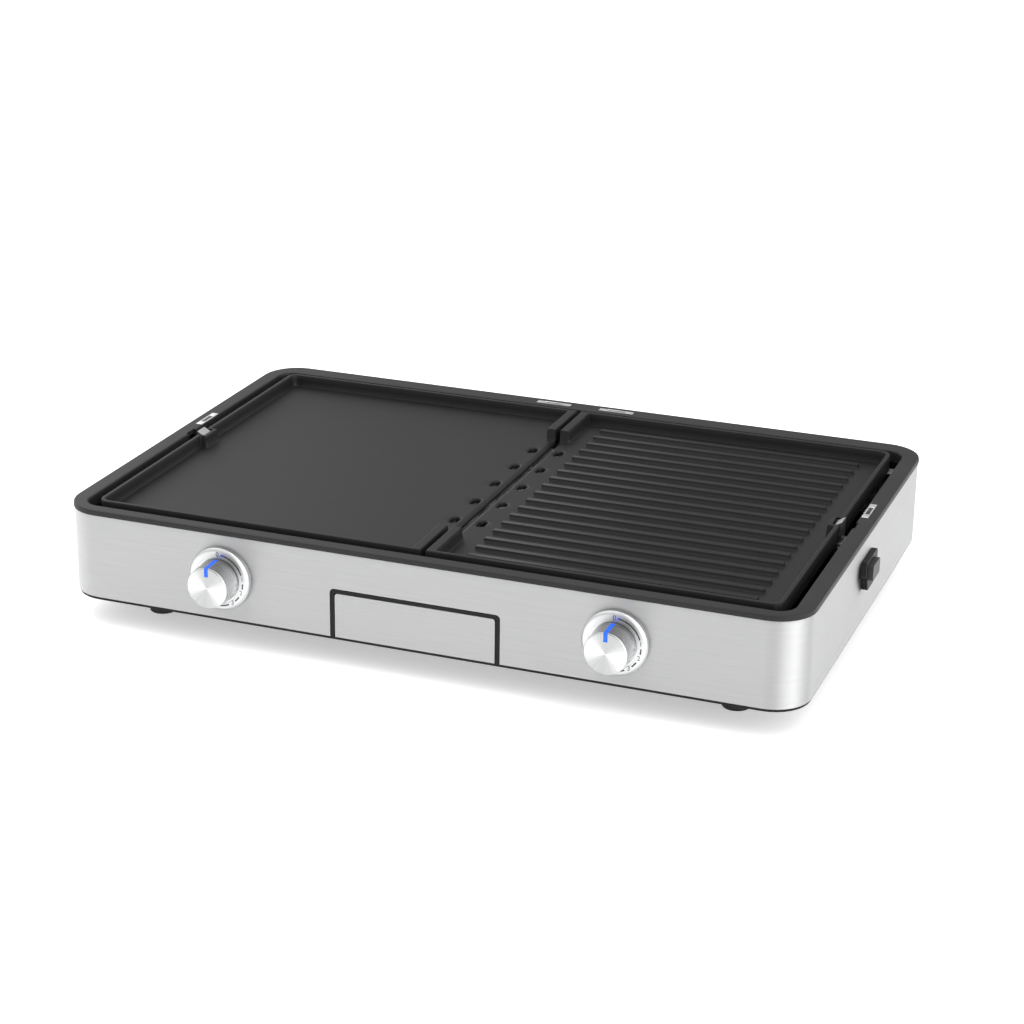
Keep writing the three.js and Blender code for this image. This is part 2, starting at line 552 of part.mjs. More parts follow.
function addLatches() {
  const l = latch;
  const halfHook = l.width / 2;
  const zTop = zPlateTop + l.above;
  const xIn = xStem - l.thickness;
  const zArm = zPivot - l.armLength;
  const ears = halfHook + bracket.sideGap;
  const wallX = halfW - shell.sheet - fit;
  const zBracket = [zPivot - l.eye, zPivot - l.eye + bracket.height];
  const armY = [l.y - halfHook + fit, l.y - halfHook + fit + button.arm];
  const flangeX = [wallX - button.flangeDepth, wallX];
  const tabX = [xStem + l.eye, xStem + l.eye + bracket.tab];
  for (const [side, word] of sides) {
    const span = (a, b) => [side * a, side * b];
    const hook = slab('y', [l.y - halfHook, l.y + halfHook], polygon(mirrored(side, [
      [xIn, zArm], [xStem, zArm], [xStem, zTop], [xStem - l.nose, zTop - l.noseDrop],
      [xStem - l.nose, zTop - l.noseDrop - l.noseDepth], [xIn, zTop - l.noseDrop - l.noseDepth / 2],
    ])));
    const eye = rod('y', l.eye, [l.y - halfHook, l.y + halfHook], [side * xPivot, zPivot]);
    const bore = rod('y', axle.radius + fit, [-far, far], [side * xPivot, zPivot]);
    place(`latch_hook_${word}`, 'chrome', cut(join(hook, eye), bore));

    const reach = ears + bracket.ear + axle.overhang;
    place(`latch_axle_${word}`, 'zinc',
      rod('y', axle.radius, [l.y - reach, l.y + reach], [side * xPivot, zPivot]));

    const wing = ears + bracket.wing;
    const back = spanBox(span(wallX - bracket.plate, wallX), [l.y - wing, l.y + wing], zBracket);
    const earPair = [-1, 1].map((end) => spanBox(span(xPivot - l.eye, wallX),
      [l.y + end * ears, l.y + end * (ears + bracket.ear)], zBracket));
    const seatY = [button.y - button.width / 2, l.y - ears];
    const seat = spanBox(span(...tabX), seatY, [zButton - button.tall / 2, zBracket[1]]);
    place(`latch_bracket_${word}`, 'zinc', cut(join(back, ...earPair, seat), bore));

    const bodyY = [button.y - button.width / 2, button.y + button.width / 2];
    const bodyZ = [zButton - button.tall / 2, zButton + button.tall / 2];
    const capX = span(flangeX[0], halfW + button.proud).sort((p, q) => p - q);
    const cap = slab('x', capX, roundRect(bodyY, bodyZ, 2));
    const flange = spanBox(span(...flangeX), [bodyY[0] - button.flange, bodyY[1] + button.flange], bodyZ);
    const arm = spanBox(span(xStem + button.armGap, wallX), armY,
      [zButton - button.armTall / 2, zButton + button.armTall / 2]);
    place(`release_button_${word}`, 'plastic', join(cap, flange, arm));

    const coil = new THREE.Shape();
    coil.absarc(0, 0, spring.wire, 0, 2 * Math.PI);
    const from = tabX[1] + spring.wire + fit;
    const length = flangeX[0] - fit - spring.wire - from;
    const wire = new THREE.ExtrudeGeometry(coil, {
      extrudePath: helix(side * length, spring.radius, spring.turns), steps: 12 * spring.turns,
      curveSegments: 3, bevelEnabled: false,
    });
    const springY = (seatY[0] + armY[0]) / 2;
    place(`button_spring_${word}`, 'zinc', solid(wire), [side * from, springY, zButton]);

    const b = bezel;
    const [hole, tall] = [button.width / 2 + slide, button.tall / 2 + slide];
    const bar = roundRect([-b.width / 2, b.width / 2], [-b.below, b.above], b.corner);
    const collar = roundRect([-hole - b.collar, hole + b.collar], [-tall - b.collar, 0], 1);
    const tongue = roundRect([-b.tongueWidth / 2, b.tongueWidth / 2], [-b.tongueBelow, 0], 1.5);
    const mouth = roundRect([-hole, hole], [-tall, tall], 2);
    const from0 = side > 0 ? halfW + fit : -halfW - fit - b.thickness;
    const [shield, lower, neck, gap] = [bar, collar, tongue, mouth].map((shape) => (
      slab('x', [from0, from0 + b.thickness], shape)));
    place(`button_bezel_${word}`, 'plastic', cut(join(shield, lower, neck), gap), [0, button.y, zButton]);
  }
}

// ---------------------------------------------------------------- mains entry

function addMainsEntry() {
  const entry = turnedToFront([
    [gland.bore, -gland.reach], [gland.nose, -gland.reach], [gland.body, -gland.flangeReach],
    [gland.flange, -gland.flangeReach], [gland.flange, -fit], [gland.body, -fit], [gland.body, gland.inside],
    [gland.bore, gland.inside], [gland.bore, -gland.reach],
  ], 24);
  place('cord_gland', 'plastic', entry, [gland.x, yBack, zShell + gland.height]);
  const yHigh = yBack - block.fromBack;
  const zTop = zFloor + fit + block.height;
  const body = spanBox([block.x - block.width / 2, block.x + block.width / 2], [yHigh - block.depth, yHigh],
    [zFloor + fit, zTop]);
  const barriers = [-1, 0, 1].map((i) => {
    const x = block.x + (i * block.width) / 3;
    return spanBox([x - block.step, x + block.step], [yHigh - block.depth - 1, yHigh - block.step],
      [zTop - block.step, far]);
  });
  place('terminal_block', 'ceramic', cut(body, ...barriers));
}

addShell();
addRim();
addGuardSockets();
addBase();
addFeet();
addDrawer();
addControls();
addPlates();
addHeat();
addSupportBars();
addChute();
addLatches();
addMainsEntry();

// The origin is under the middle of the whole object, knobs and cord gland included.
griddle.position.y = (knob.reach - gland.reach) / 2;

export default griddle;
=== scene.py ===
"""Finished pieces, materials and stage for a two-zone electric griddle."""

import json
import math

import bmesh
import bpy
import numpy as np
from mathutils import Matrix, Vector


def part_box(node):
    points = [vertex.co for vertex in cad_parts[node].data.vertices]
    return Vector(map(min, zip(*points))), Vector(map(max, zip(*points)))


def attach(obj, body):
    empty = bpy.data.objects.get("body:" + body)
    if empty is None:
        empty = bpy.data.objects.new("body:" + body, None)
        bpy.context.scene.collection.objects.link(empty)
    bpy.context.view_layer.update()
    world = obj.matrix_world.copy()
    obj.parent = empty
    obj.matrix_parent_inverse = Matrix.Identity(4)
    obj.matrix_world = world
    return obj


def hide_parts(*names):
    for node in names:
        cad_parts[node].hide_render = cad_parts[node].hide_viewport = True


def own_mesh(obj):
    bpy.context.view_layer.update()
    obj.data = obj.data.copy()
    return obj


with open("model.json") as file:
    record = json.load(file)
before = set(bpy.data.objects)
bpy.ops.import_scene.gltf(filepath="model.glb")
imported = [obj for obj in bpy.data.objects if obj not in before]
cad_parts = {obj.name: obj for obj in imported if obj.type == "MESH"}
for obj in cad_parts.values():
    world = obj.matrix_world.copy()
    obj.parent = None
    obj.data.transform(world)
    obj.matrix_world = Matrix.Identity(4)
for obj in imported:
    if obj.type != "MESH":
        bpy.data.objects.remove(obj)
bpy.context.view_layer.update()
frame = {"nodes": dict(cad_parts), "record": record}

bl_info = {
    "name": "Two-zone griddle",
    "version": (1, 0, 0),
    "blender": (4, 5, 0),
    "location": "View3D > Sidebar > Griddle",
    "description": "Gives the griddle's pieces their finished shapes and surfaces, and stages them",
    "category": "Object",
}

MM = 0.001
SIDES = {"left": -1, "right": 1}
JOINTS = frame["record"]["behaviour"]["joints"]
BODY_OF = {
    node: body
    for body, nodes in frame["record"]["behaviour"]["bodies"].items()
    for node in nodes
}


# ------------------------------------------------------------------ settings


class EdgeSettings(bpy.types.PropertyGroup):
    sheet: bpy.props.FloatProperty(
        name="Sheet edge",
        description="Rounding along the edges of sheet-metal pieces",
        default=0.25 * MM,
        min=0,
        unit="LENGTH",
    )
    moulded: bpy.props.FloatProperty(
        name="Moulded edge",
        description="Rounding along the edges of plastic pieces",
        default=0.5 * MM,
        min=0,
        unit="LENGTH",
    )
    plated: bpy.props.FloatProperty(
        name="Plated edge",
        description="Rounding along the edges of the bright latch hooks",
        default=0.5 * MM,
        min=0,
        unit="LENGTH",
    )


class PlateSettings(bpy.types.PropertyGroup):
    wall_top: bpy.props.FloatProperty(
        name="Wall top",
        description="Level width on top of a plate's outer wall",
        default=2.6 * MM,
        unit="LENGTH",
    )
    cheek_top: bpy.props.FloatProperty(
        name="Cheek top",
        description="Level width on top of the short walls beside the gap between the plates",
        default=6.6 * MM,
        unit="LENGTH",
    )
    cheek_length: bpy.props.FloatProperty(
        name="Cheek length",
        description="Length of each short wall beside the gap between the plates",
        default=55.3 * MM,
        unit="LENGTH",
    )
    depth: bpy.props.FloatProperty(
        name="Pan depth",
        description="Height of the walls over the cooking surface",
        default=10 * MM,
        unit="LENGTH",
    )
    draught: bpy.props.FloatProperty(
        name="Draught",
        description="Steepness of the walls' inner faces, from level",
        default=math.radians(84),
        subtype="ANGLE",
    )
    crest: bpy.props.FloatProperty(
        name="Crest radius",
        description="Rounding along the top edges of the walls",
        default=0.8 * MM,
        unit="LENGTH",
    )
    fillet: bpy.props.FloatProperty(
        name="Fillet radius",
        description="Rounding where the walls meet the cooking surface",
        default=0.9 * MM,
        unit="LENGTH",
    )
    lip_radius: bpy.props.FloatProperty(
        name="Lip radius",
        description="Rounding of the cooking surface down into the gap",
        default=3.6 * MM,
        unit="LENGTH",
    )
    corner: bpy.props.FloatProperty(
        name="Corner radius",
        description="Radius of the plate's two outer corners in plan",
        default=9 * MM,
        unit="LENGTH",
    )
    drain_width: bpy.props.FloatProperty(
        name="Drain width", description="Width of a drain slot", default=7.2 * MM, unit="LENGTH"
    )
    drain_length: bpy.props.FloatProperty(
        name="Drain length", description="Length of a drain slot", default=13.4 * MM, unit="LENGTH"
    )
    drain_dish: bpy.props.FloatProperty(
        name="Drain dish",
        description="Width of the band round a drain slot that slopes down to it",
        default=1.4 * MM,
        unit="LENGTH",
    )
    drain_from_gap: bpy.props.FloatProperty(
        name="Drain inset",
        description="Distance from the plate's gap side to the middle of the drain slots",
        default=9.3 * MM,
        unit="LENGTH",
    )
    drain_pitch: bpy.props.FloatProperty(
        name="Drain pitch",
        description="Distance between drain slots",
        default=44 * MM,
        unit="LENGTH",
    )
    pocket_width: bpy.props.FloatProperty(
        name="Pocket width",
        description="Width of the pocket that the latch hook stands in",
        default=16 * MM,
        unit="LENGTH",
    )
    pocket_depth: bpy.props.FloatProperty(
        name="Pocket depth",
        description="Depth of the latch pocket from the plate's outer side",
        default=6 * MM,
        unit="LENGTH",
    )
    rib_count: bpy.props.IntProperty(
        name="Ribs", description="Number of searing ribs", default=18, min=1
    )
    rib_height: bpy.props.FloatProperty(
        name="Rib height",
        description="Height of a rib over the cooking surface",
        default=3.0 * MM,
        unit="LENGTH",
    )
    rib_base: bpy.props.FloatProperty(
        name="Rib base",
        description="Width of a rib where it leaves the cooking surface",
        default=6.6 * MM,
        unit="LENGTH",
    )
    rib_crown: bpy.props.FloatProperty(
        name="Rib crown", description="Width of a rib at its top", default=5.2 * MM, unit="LENGTH"
    )
    rib_from_gap: bpy.props.FloatProperty(
        name="Rib start",
        description="Distance from the plate's gap side to the ribs",
        default=24.8 * MM,
        unit="LENGTH",
    )
    rib_from_side: bpy.props.FloatProperty(
        name="Rib end",
        description="Distance from the plate's outer side to the ribs",
        default=23.4 * MM,
        unit="LENGTH",
    )
    rib_from_front: bpy.props.FloatProperty(
        name="First rib",
        description="Distance from the plate's front edge to the first rib's middle",
        default=23.1 * MM,
        unit="LENGTH",
    )
    rib_from_back: bpy.props.FloatProperty(
        name="Last rib",
        description="Distance from the plate's back edge to the last rib's middle",
        default=21.1 * MM,
        unit="LENGTH",
    )


class KnobSettings(bpy.types.PropertyGroup):
    scale_radius: bpy.props.FloatProperty(
        name="Scale radius",
        description="Radius of the printed scale on the dial ring",
        default=21.0 * MM,
        unit="LENGTH",
    )
    line_width: bpy.props.FloatProperty(
        name="Scale line", description="Width of the printed arcs", default=1.1 * MM, unit="LENGTH"
    )
    figure_height: bpy.props.FloatProperty(
        name="Figure height",
        description="Height of the printed figures",
        default=3.9 * MM,
        unit="LENGTH",
    )
    chamfer: bpy.props.FloatProperty(
        name="Face chamfer",
        description="Bright chamfer round the knob's face",
        default=0.8 * MM,
        unit="LENGTH",
    )
    light: bpy.props.FloatVectorProperty(
        name="Pointer light",
        description="Colour of the lit pointer",
        subtype="COLOR",
        size=3,
        default=(0.0, 0.12, 1.0),
    )
    brightness: bpy.props.FloatProperty(
        name="Pointer brightness", description="Strength of the pointer's light", default=1.0, min=0
    )


class StageSettings(bpy.types.PropertyGroup):
    azimuth: bpy.props.FloatProperty(
        name="Camera azimuth",
        description="Direction of the camera, round from the front to the right",
        default=math.radians(20.591),
        subtype="ANGLE",
    )
    elevation: bpy.props.FloatProperty(
        name="Camera elevation",
        description="Height of the camera over the level, as an angle",
        default=math.radians(20.94),
        subtype="ANGLE",
    )
    roll: bpy.props.FloatProperty(
        name="Camera roll",
        description="Turn of the camera about its own axis",
        default=math.radians(0.698),
        subtype="ANGLE",
    )
    distance: bpy.props.FloatProperty(
        name="Camera distance",
        description="Distance from the camera to the point that it looks at",
        default=2.05515,
        unit="LENGTH",
    )
    lens: bpy.props.FloatProperty(
        name="Lens", description="Focal length", default=87.88, subtype="DISTANCE_CAMERA"
    )
    look_at: bpy.props.FloatVectorProperty(
        name="Look at",
        description="Point on the object that the camera's aim is measured from",
        subtype="TRANSLATION",
        size=3,
        default=(0.0009, 0.00875, 0.0245),
    )
    aside: bpy.props.FloatVectorProperty(
        name="Offset",
        description="Sideways and upward offset of the camera, in its own plane",
        size=2,
        default=(0.002839, 0.038967),
    )
    floor_colour: bpy.props.FloatVectorProperty(
        name="Floor",
        description="Colour of the floor",
        subtype="COLOR",
        size=3,
        default=(0.9, 0.9, 0.9),
    )
    floor_glow: bpy.props.FloatProperty(
        name="Floor glow", description="Light that the floor gives off itself", default=0.5, min=0
    )
    key: bpy.props.FloatProperty(
        name="Key light", description="Power of the large light overhead", default=30, unit="POWER"
    )
    sky: bpy.props.FloatProperty(
        name="Surroundings", description="Strength of the light from all round", default=0.95, min=0
    )


# ------------------------------------------------------------------ surfaces


class Signal:
    """A value that varies over a surface. Arithmetic on it adds Math nodes to its tree."""

    def __init__(self, shading, socket):
        self.shading = shading
        self.socket = socket

    def _math(self, operation, *terms):
        return self.shading.node("ShaderNodeMath", {"operation": operation}, dict(enumerate(terms)))

    def __add__(self, other):
        return self._math("ADD", self, other)

    __radd__ = __add__

    def __sub__(self, other):
        return self._math("SUBTRACT", self, other)

    def __rsub__(self, other):
        return self._math("SUBTRACT", other, self)

    def __mul__(self, other):
        return self._math("MULTIPLY", self, other)

    __rmul__ = __mul__

    def __truediv__(self, other):
        return self._math("DIVIDE", self, other)

    def cosine(self):
        return self._math("COSINE", self)

    def angle_from(self, across):
        """Angle of the point that lies this far up and that far across."""
        return self._math("ARCTAN2", self, across)


class Shading:
    """A shader tree in the making."""

    def __init__(self, tree):
        self.tree = tree

    def node(self, kind, settings=None, inputs=None, output=0):
        made = self.tree.nodes.new(kind)
        for name, value in (settings or {}).items():
            if name == "stops":
                self.set_stops(made.color_ramp, value)
            else:
                setattr(made, name, value)
        for key, value in (inputs or {}).items():
            self.feed(made.inputs[key], value)
        return Signal(self, made.outputs[output])

    def set_stops(self, ramp, stops):
        ramp.interpolation = "EASE"
        while len(ramp.elements) < len(stops):
            ramp.elements.new(0.5)
        for element, (place, level) in zip(ramp.elements, stops):
            element.position = place
            element.color = (level, level, level, 1)

    def parts(self, vector, axes):
        """The vector's length along each of the named axes."""
        return [self.node("ShaderNodeSeparateXYZ", None, {0: vector}, axis) for axis in axes]

    def feed(self, socket, value):
        if isinstance(value, Signal):
            self.tree.links.new(value.socket, socket)
        else:
            socket.default_value = value


class Finish(Shading):
    """A procedural material in the making: one Principled shader and the nodes that feed it."""

    def __init__(self, name, **constants):
        self.material = bpy.data.materials.new(f"{name}_finish")
        self.material.use_nodes = True
        super().__init__(self.material.node_tree)
        self.shader = self.tree.nodes["Principled BSDF"]
        for socket, value in constants.items():
            self.shader.inputs[socket.replace("_", " ")].default_value = value

    def shade(self, socket, value):
        self.feed(self.shader.inputs[socket], value)

    def place(self, centre=(0, 0, 0), stretch=(1, 1, 1)):
        """Object coordinates counted from centre, and stretched along each axis."""
        origin = self.node("ShaderNodeTexCoord", output="Object")
        moved = self.node(
            "ShaderNodeVectorMath", {"operation": "SUBTRACT"}, {0: origin, 1: Vector(centre)}
        )
        return self.node(
            "ShaderNodeVectorMath", {"operation": "MULTIPLY"}, {0: moved, 1: Vector(stretch)}
        )

    def noise(self, where, scale, detail=3.0, roughness=0.55):
        return self.node(
            "ShaderNodeTexNoise",
            None,
            {"Vector": where, "Scale": scale, "Detail": detail, "Roughness": roughness},
        )

    def cells(self, where, scale):
        """A random shade for each small cell, as of the grains of a zinc coat."""
        colour = self.node("ShaderNodeTexVoronoi", None, {"Vector": where, "Scale": scale}, "Color")
        return self.node("ShaderNodeSeparateXYZ", None, {0: colour}, "X")

    def between(self, factor, low, high):
        """A colour between two, by factor."""
        return self.node(
            "ShaderNodeMix",
            {"data_type": "RGBA"},
            {0: factor, 6: (*low, 1), 7: (*high, 1)},
            2,
        )

    def step(self, value, low, high):
        """0 below low, 1 above high, smooth between."""
        return self.node(
            "ShaderNodeMapRange",
            {"interpolation_type": "SMOOTHSTEP"},
            {"Value": value, "From Min": low, "From Max": high},
        )

    def bump(self, height, distance, strength=1.0):
        made = self.node(
            "ShaderNodeBump", None, {"Height": height, "Distance": distance, "Strength": strength}
        )
        self.shade("Normal", made)


def brushed_steel():
    """Stainless sheet with a long level grain that runs on round the corners."""
    finish = Finish("brushed_steel", Metallic=1.0, Anisotropic=0.95, Anisotropic_Rotation=0.25)
    grain = finish.noise(finish.place(stretch=(5, 5, 900)), 1.0, 5.0, 0.75)
    strands = finish.noise(finish.place(stretch=(30, 30, 4200)), 1.0, 2.0)
    cloud = finish.noise(finish.place(), 9.0, 2.0)
    tone = 0.4 * grain + 0.45 * strands + 0.15 * cloud
    finish.shade("Base Color", finish.between(tone, (0.47, 0.4715, 0.474), (0.77, 0.7715, 0.775)))
    finish.shade("Roughness", 0.46 + 0.10 * grain + 0.04 * cloud)
    finish.bump(grain + 0.8 * strands, 0.05 * MM, 0.35)
    return finish.material


def turned_aluminium(
    name, centre, amount, colour=(0.84, 0.845, 0.85), painted_sheen_contrast=0.62, roughness=0.2
):
    """Aluminium turned on a lathe: fine rings round the knob's axis lean the surface in and out.
    Its base colour also holds a painted highlight: bright sectors and rays round the axis, with
    painted shade between them, that turn with the knob.
    """
    finish = Finish(name, Metallic=1.0)
    where = finish.place(centre, (1, 0, 1))
    radius = finish.node("ShaderNodeVectorMath", {"operation": "LENGTH"}, {0: where}, "Value")
    rings = finish.node(
        "ShaderNodeTexNoise",
        {"noise_dimensions": "1D"},
        {"W": radius, "Scale": 9000.0, "Detail": 1.0},
    )
    outwards = finish.node("ShaderNodeVectorMath", {"operation": "NORMALIZE"}, {0: where})
    lean = finish.node(
        "ShaderNodeVectorMath",
        {"operation": "SCALE"},
        {"Vector": outwards, "Scale": amount * (rings - 0.5)},
    )
    turned = finish.node(
        "ShaderNodeVectorTransform",
        {"vector_type": "VECTOR", "convert_from": "OBJECT", "convert_to": "WORLD"},
        {0: lean},
    )
    level = finish.node("ShaderNodeNewGeometry", output="Normal")
    summed = finish.node("ShaderNodeVectorMath", {"operation": "ADD"}, {0: level, 1: turned})
    leaning = finish.node("ShaderNodeVectorMath", {"operation": "NORMALIZE"}, {0: summed})
    finish.shade("Normal", leaning)
    # Painted highlight: bright sectors and fine rays round the axis are painted into the base
    # colour, with painted shade between them, in place of the reflection of a turned face.
    across, up = finish.parts(where, "XZ")
    angle = up.angle_from(across)
    painted_fan_highlight = 0.5 + 0.5 * (2.0 * angle + 0.5).cosine()
    painted_highlight_rays = finish.node(
        "ShaderNodeTexNoise", {"noise_dimensions": "1D"}, {"W": angle, "Scale": 9.0, "Detail": 3.0}
    )
    # The painted highlight and painted shade, mixed with the real fine turning rings.
    painted_sheen_and_rings = 0.62 * painted_fan_highlight * painted_fan_highlight + 0.26 * painted_highlight_rays + 0.12 * rings
    painted_shade_colour = [channel * (1 - painted_sheen_contrast) for channel in colour]
    finish.shade("Base Color", finish.between(painted_sheen_and_rings, painted_shade_colour, colour))
    finish.shade("Roughness", roughness + 0.12 * rings)
    return finish.material


def cast_coat():
    """Non-stick coat sprayed on cast aluminium: nearly black, with a fine pebbled skin."""
    finish = Finish("cast_coat", Metallic=0.0)
    finish.shader.inputs["Specular IOR Level"].default_value = 0.27
    pebble = finish.noise(finish.place(), 1500.0, 2.0, 0.6)
    mottle = finish.noise(finish.place(), 60.0, 3.0)
    fleck = finish.step(finish.noise(finish.place(), 900.0, 1.0), 0.62, 0.72)
    tone = 0.6 * mottle + 0.4 * fleck
    dark, light = (0.007, 0.0071, 0.0073), (0.014, 0.0142, 0.0145)
    finish.shade("Base Color", finish.between(tone, dark, light))
    finish.shade("Roughness", 0.40 + 0.14 * pebble + 0.06 * mottle)
    finish.bump(pebble, 0.05 * MM, 0.55)
    return finish.material


def rim_enamel():
    """Matte black stove enamel on the rim."""
    finish = Finish("rim_enamel", Metallic=0.0, Specular_IOR_Level=0.2)
    grain = finish.noise(finish.place(), 2600.0, 2.0)
    cloud = finish.noise(finish.place(), 25.0, 2.0)
    dark, light = (0.018, 0.0182, 0.0184), (0.028, 0.0282, 0.0285)
    finish.shade("Base Color", finish.between(cloud, dark, light))
    finish.shade("Roughness", 0.42 + 0.12 * grain)
    finish.bump(grain, 0.03 * MM, 0.5)
    return finish.material


def moulded_black(name="moulded_black", low=0.005, high=0.010, roughness=0.42):
    """Black plastic with the fine spark grain of its mould."""
    finish = Finish(name, Metallic=0.0, Specular_IOR_Level=0.2)
    grain = finish.noise(finish.place(), 2200.0, 2.0)
    cloud = finish.noise(finish.place(), 40.0, 2.0)
    dark, light = (low, low, low * 1.05), (high, high, high * 1.05)
    finish.shade("Base Color", finish.between(cloud, dark, light))
    finish.shade("Roughness", roughness + 0.14 * grain)
    finish.bump(grain, 0.03 * MM, 0.5)
    return finish.material


def foot_rubber():
    finish = Finish("foot_rubber", Metallic=0.0)
    dust = finish.noise(finish.place(), 120.0, 4.0)
    grain = finish.noise(finish.place(), 1400.0, 3.0)
    finish.shade("Base Color", finish.between(dust, (0.010, 0.010, 0.011), (0.030, 0.030, 0.031)))
    finish.shade("Roughness", 0.68 + 0.2 * dust)
    finish.bump(grain, 0.06 * MM, 0.6)
    return finish.material


def bright_plating(name="bright_plating", low=0.50, high=0.66):
    """Nickel-bright steel with faint wiping marks."""
    finish = Finish(name, Metallic=1.0)
    smear = finish.noise(finish.place(stretch=(1, 3, 1)), 55.0, 4.0)
    finish.shade("Base Color", finish.between(smear, (low,) * 3, (high,) * 3))
    finish.shade("Roughness", 0.26 + 0.14 * smear)
    return finish.material


def zinc_plating():
    """Zinc-plated steel of the inner pieces, with its faint crystal pattern."""
    finish = Finish("zinc_plating", Metallic=1.0)
    spangle = finish.cells(finish.place(), 150.0)
    drawn = finish.noise(finish.place(), 30.0, 4.0)
    finish.shade("Base Color", finish.between(spangle, (0.44, 0.45, 0.46), (0.62, 0.63, 0.64)))
    finish.shade("Roughness", 0.34 + 0.10 * spangle + 0.10 * drawn)
    return finish.material


def heated_tube():
    """Steel tube of the heating elements, darkened and tinted by heat."""
    finish = Finish("heated_tube", Metallic=1.0)
    tint = finish.noise(finish.place(), 18.0, 3.0)
    finish.shade("Base Color", finish.between(tint, (0.13, 0.12, 0.12), (0.33, 0.27, 0.22)))
    finish.shade("Roughness", 0.38 + 0.2 * tint)
    return finish.material


def pale_insulator():
    finish = Finish("pale_insulator", Metallic=0.0)
    speck = finish.noise(finish.place(), 260.0, 4.0)
    finish.shade("Base Color", finish.between(speck, (0.62, 0.60, 0.55), (0.80, 0.78, 0.73)))
    finish.shade("Roughness", 0.50 + 0.16 * speck)
    finish.bump(speck, 0.05 * MM, 0.4)
    return finish.material


def lit_pointer(colour, brightness):
    """Light pipe of the knob's pointer, which glows in slightly deeper and lighter spots."""
    finish = Finish("lit_pointer", Metallic=0.0, Emission_Strength=brightness)
    depth = finish.noise(finish.place(), 500.0, 2.0)
    deep = [channel * 0.85 for channel in colour]
    finish.shade("Base Color", finish.between(depth, (0.0, 0.02, 0.2), (0.0, 0.05, 0.4)))
    finish.shade("Emission Color", finish.between(depth, deep, colour))
    finish.shade("Roughness", 0.22 + 0.08 * depth)
    return finish.material


def dial_print():
    finish = Finish("dial_print", Metallic=0.0)
    ink = finish.noise(finish.place(), 1800.0, 2.0)
    finish.shade("Base Color", finish.between(ink, (0.012, 0.012, 0.013), (0.03, 0.03, 0.032)))
    finish.shade("Roughness", 0.5 + 0.15 * ink)
    return finish.material


def surface(name, make, *sizes):
    """The material of that name, made the first time it is asked for."""
    return bpy.data.materials.get(f"{name}_finish") or make(*sizes)


# ------------------------------------------------------------------ mesh work


def add_object(name, mesh, *materials):
    piece = bpy.data.objects.new(name, mesh)
    bpy.context.scene.collection.objects.link(piece)
    for material in materials:
        mesh.materials.append(material)
    return piece


def finished(name, shape):
    """The shape as a mesh of its own."""
    mesh = bpy.data.meshes.new(name)
    shape.to_mesh(mesh)
    shape.free()
    return mesh


def baked(piece):
    """Applies the piece's modifiers, and leaves a plain mesh."""
    depsgraph = bpy.context.evaluated_depsgraph_get()
    evaluated = piece.evaluated_get(depsgraph)
    mesh = bpy.data.meshes.new_from_object(
        evaluated, preserve_all_data_layers=True, depsgraph=depsgraph
    )
    for modifier in list(piece.modifiers):
        piece.modifiers.remove(modifier)
    old, piece.data = piece.data, mesh
    bpy.data.meshes.remove(old)
    mesh.name = piece.name
    return piece


def smooth(piece, sharp=38):
    """Smooth shading, broken at edges sharper than the angle in degrees."""
    piece.data.shade_smooth()
    piece.data.set_sharp_from_angle(angle=math.radians(sharp))
    return piece


def rounded(piece, width, segments=2, sharp=30):
    """Rounds the sharp edges, with shading that keeps the flats flat."""
    if width:
        bevel = piece.modifiers.new("Rounding", "BEVEL")
        bevel.width = width
        bevel.segments = segments
        bevel.limit_method = "ANGLE"
        bevel.angle_limit = math.radians(sharp)
        bevel.use_clamp_overlap = True
        bevel.miter_outer = "MITER_ARC"
        baked(piece)
    smooth(piece, 50)
    weighted = piece.modifiers.new("Flats", "WEIGHTED_NORMAL")
    weighted.keep_sharp = True
    return baked(piece)


def copy_of(node, name, whole=True):
    """A new object with the node's solid, its loose triangles joined and its flats made whole."""
    mesh = bpy.data.meshes.new(name)
    solid = bmesh.new()
    solid.from_mesh(frame["nodes"][node].data)
    bmesh.ops.remove_doubles(solid, verts=solid.verts, dist=0.002 * MM)
    if whole:
        bmesh.ops.dissolve_limit(
            solid, angle_limit=math.radians(0.4), verts=solid.verts, edges=solid.edges
        )
    solid.to_mesh(mesh)
    solid.free()
    return add_object(name, mesh)


def splits_cleanly(mesh):
    """True if the triangles of the faces cover them once."""
    mesh.calc_loop_triangles()
    faces = sum(face.area for face in mesh.polygons)
    triangles = sum(triangle.area for triangle in mesh.loop_triangles)
    return abs(triangles - faces) < 0.01 * faces


def settle(piece, material_slot, *nodes, body=None):
    """Puts a finished piece in place of its CAD nodes, on their body."""
    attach(piece, body or BODY_OF[nodes[0]])
    if nodes:
        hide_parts(*nodes)
    return piece


def refine(node, material, material_slot, width, segments=2, name=None):
    """The node's own shape with rounded edges and its finish."""
    for whole, edge in ((True, width), (False, 0)):
        piece = copy_of(node, name or f"{node}_finished", whole)
        piece.data.materials.append(material)
        rounded(piece, edge, segments)
        if splits_cleanly(piece.data):
            return settle(piece, material_slot, node)
        bpy.data.objects.remove(piece)
    raise RuntimeError(f"the faces of {node} don't split into triangles")


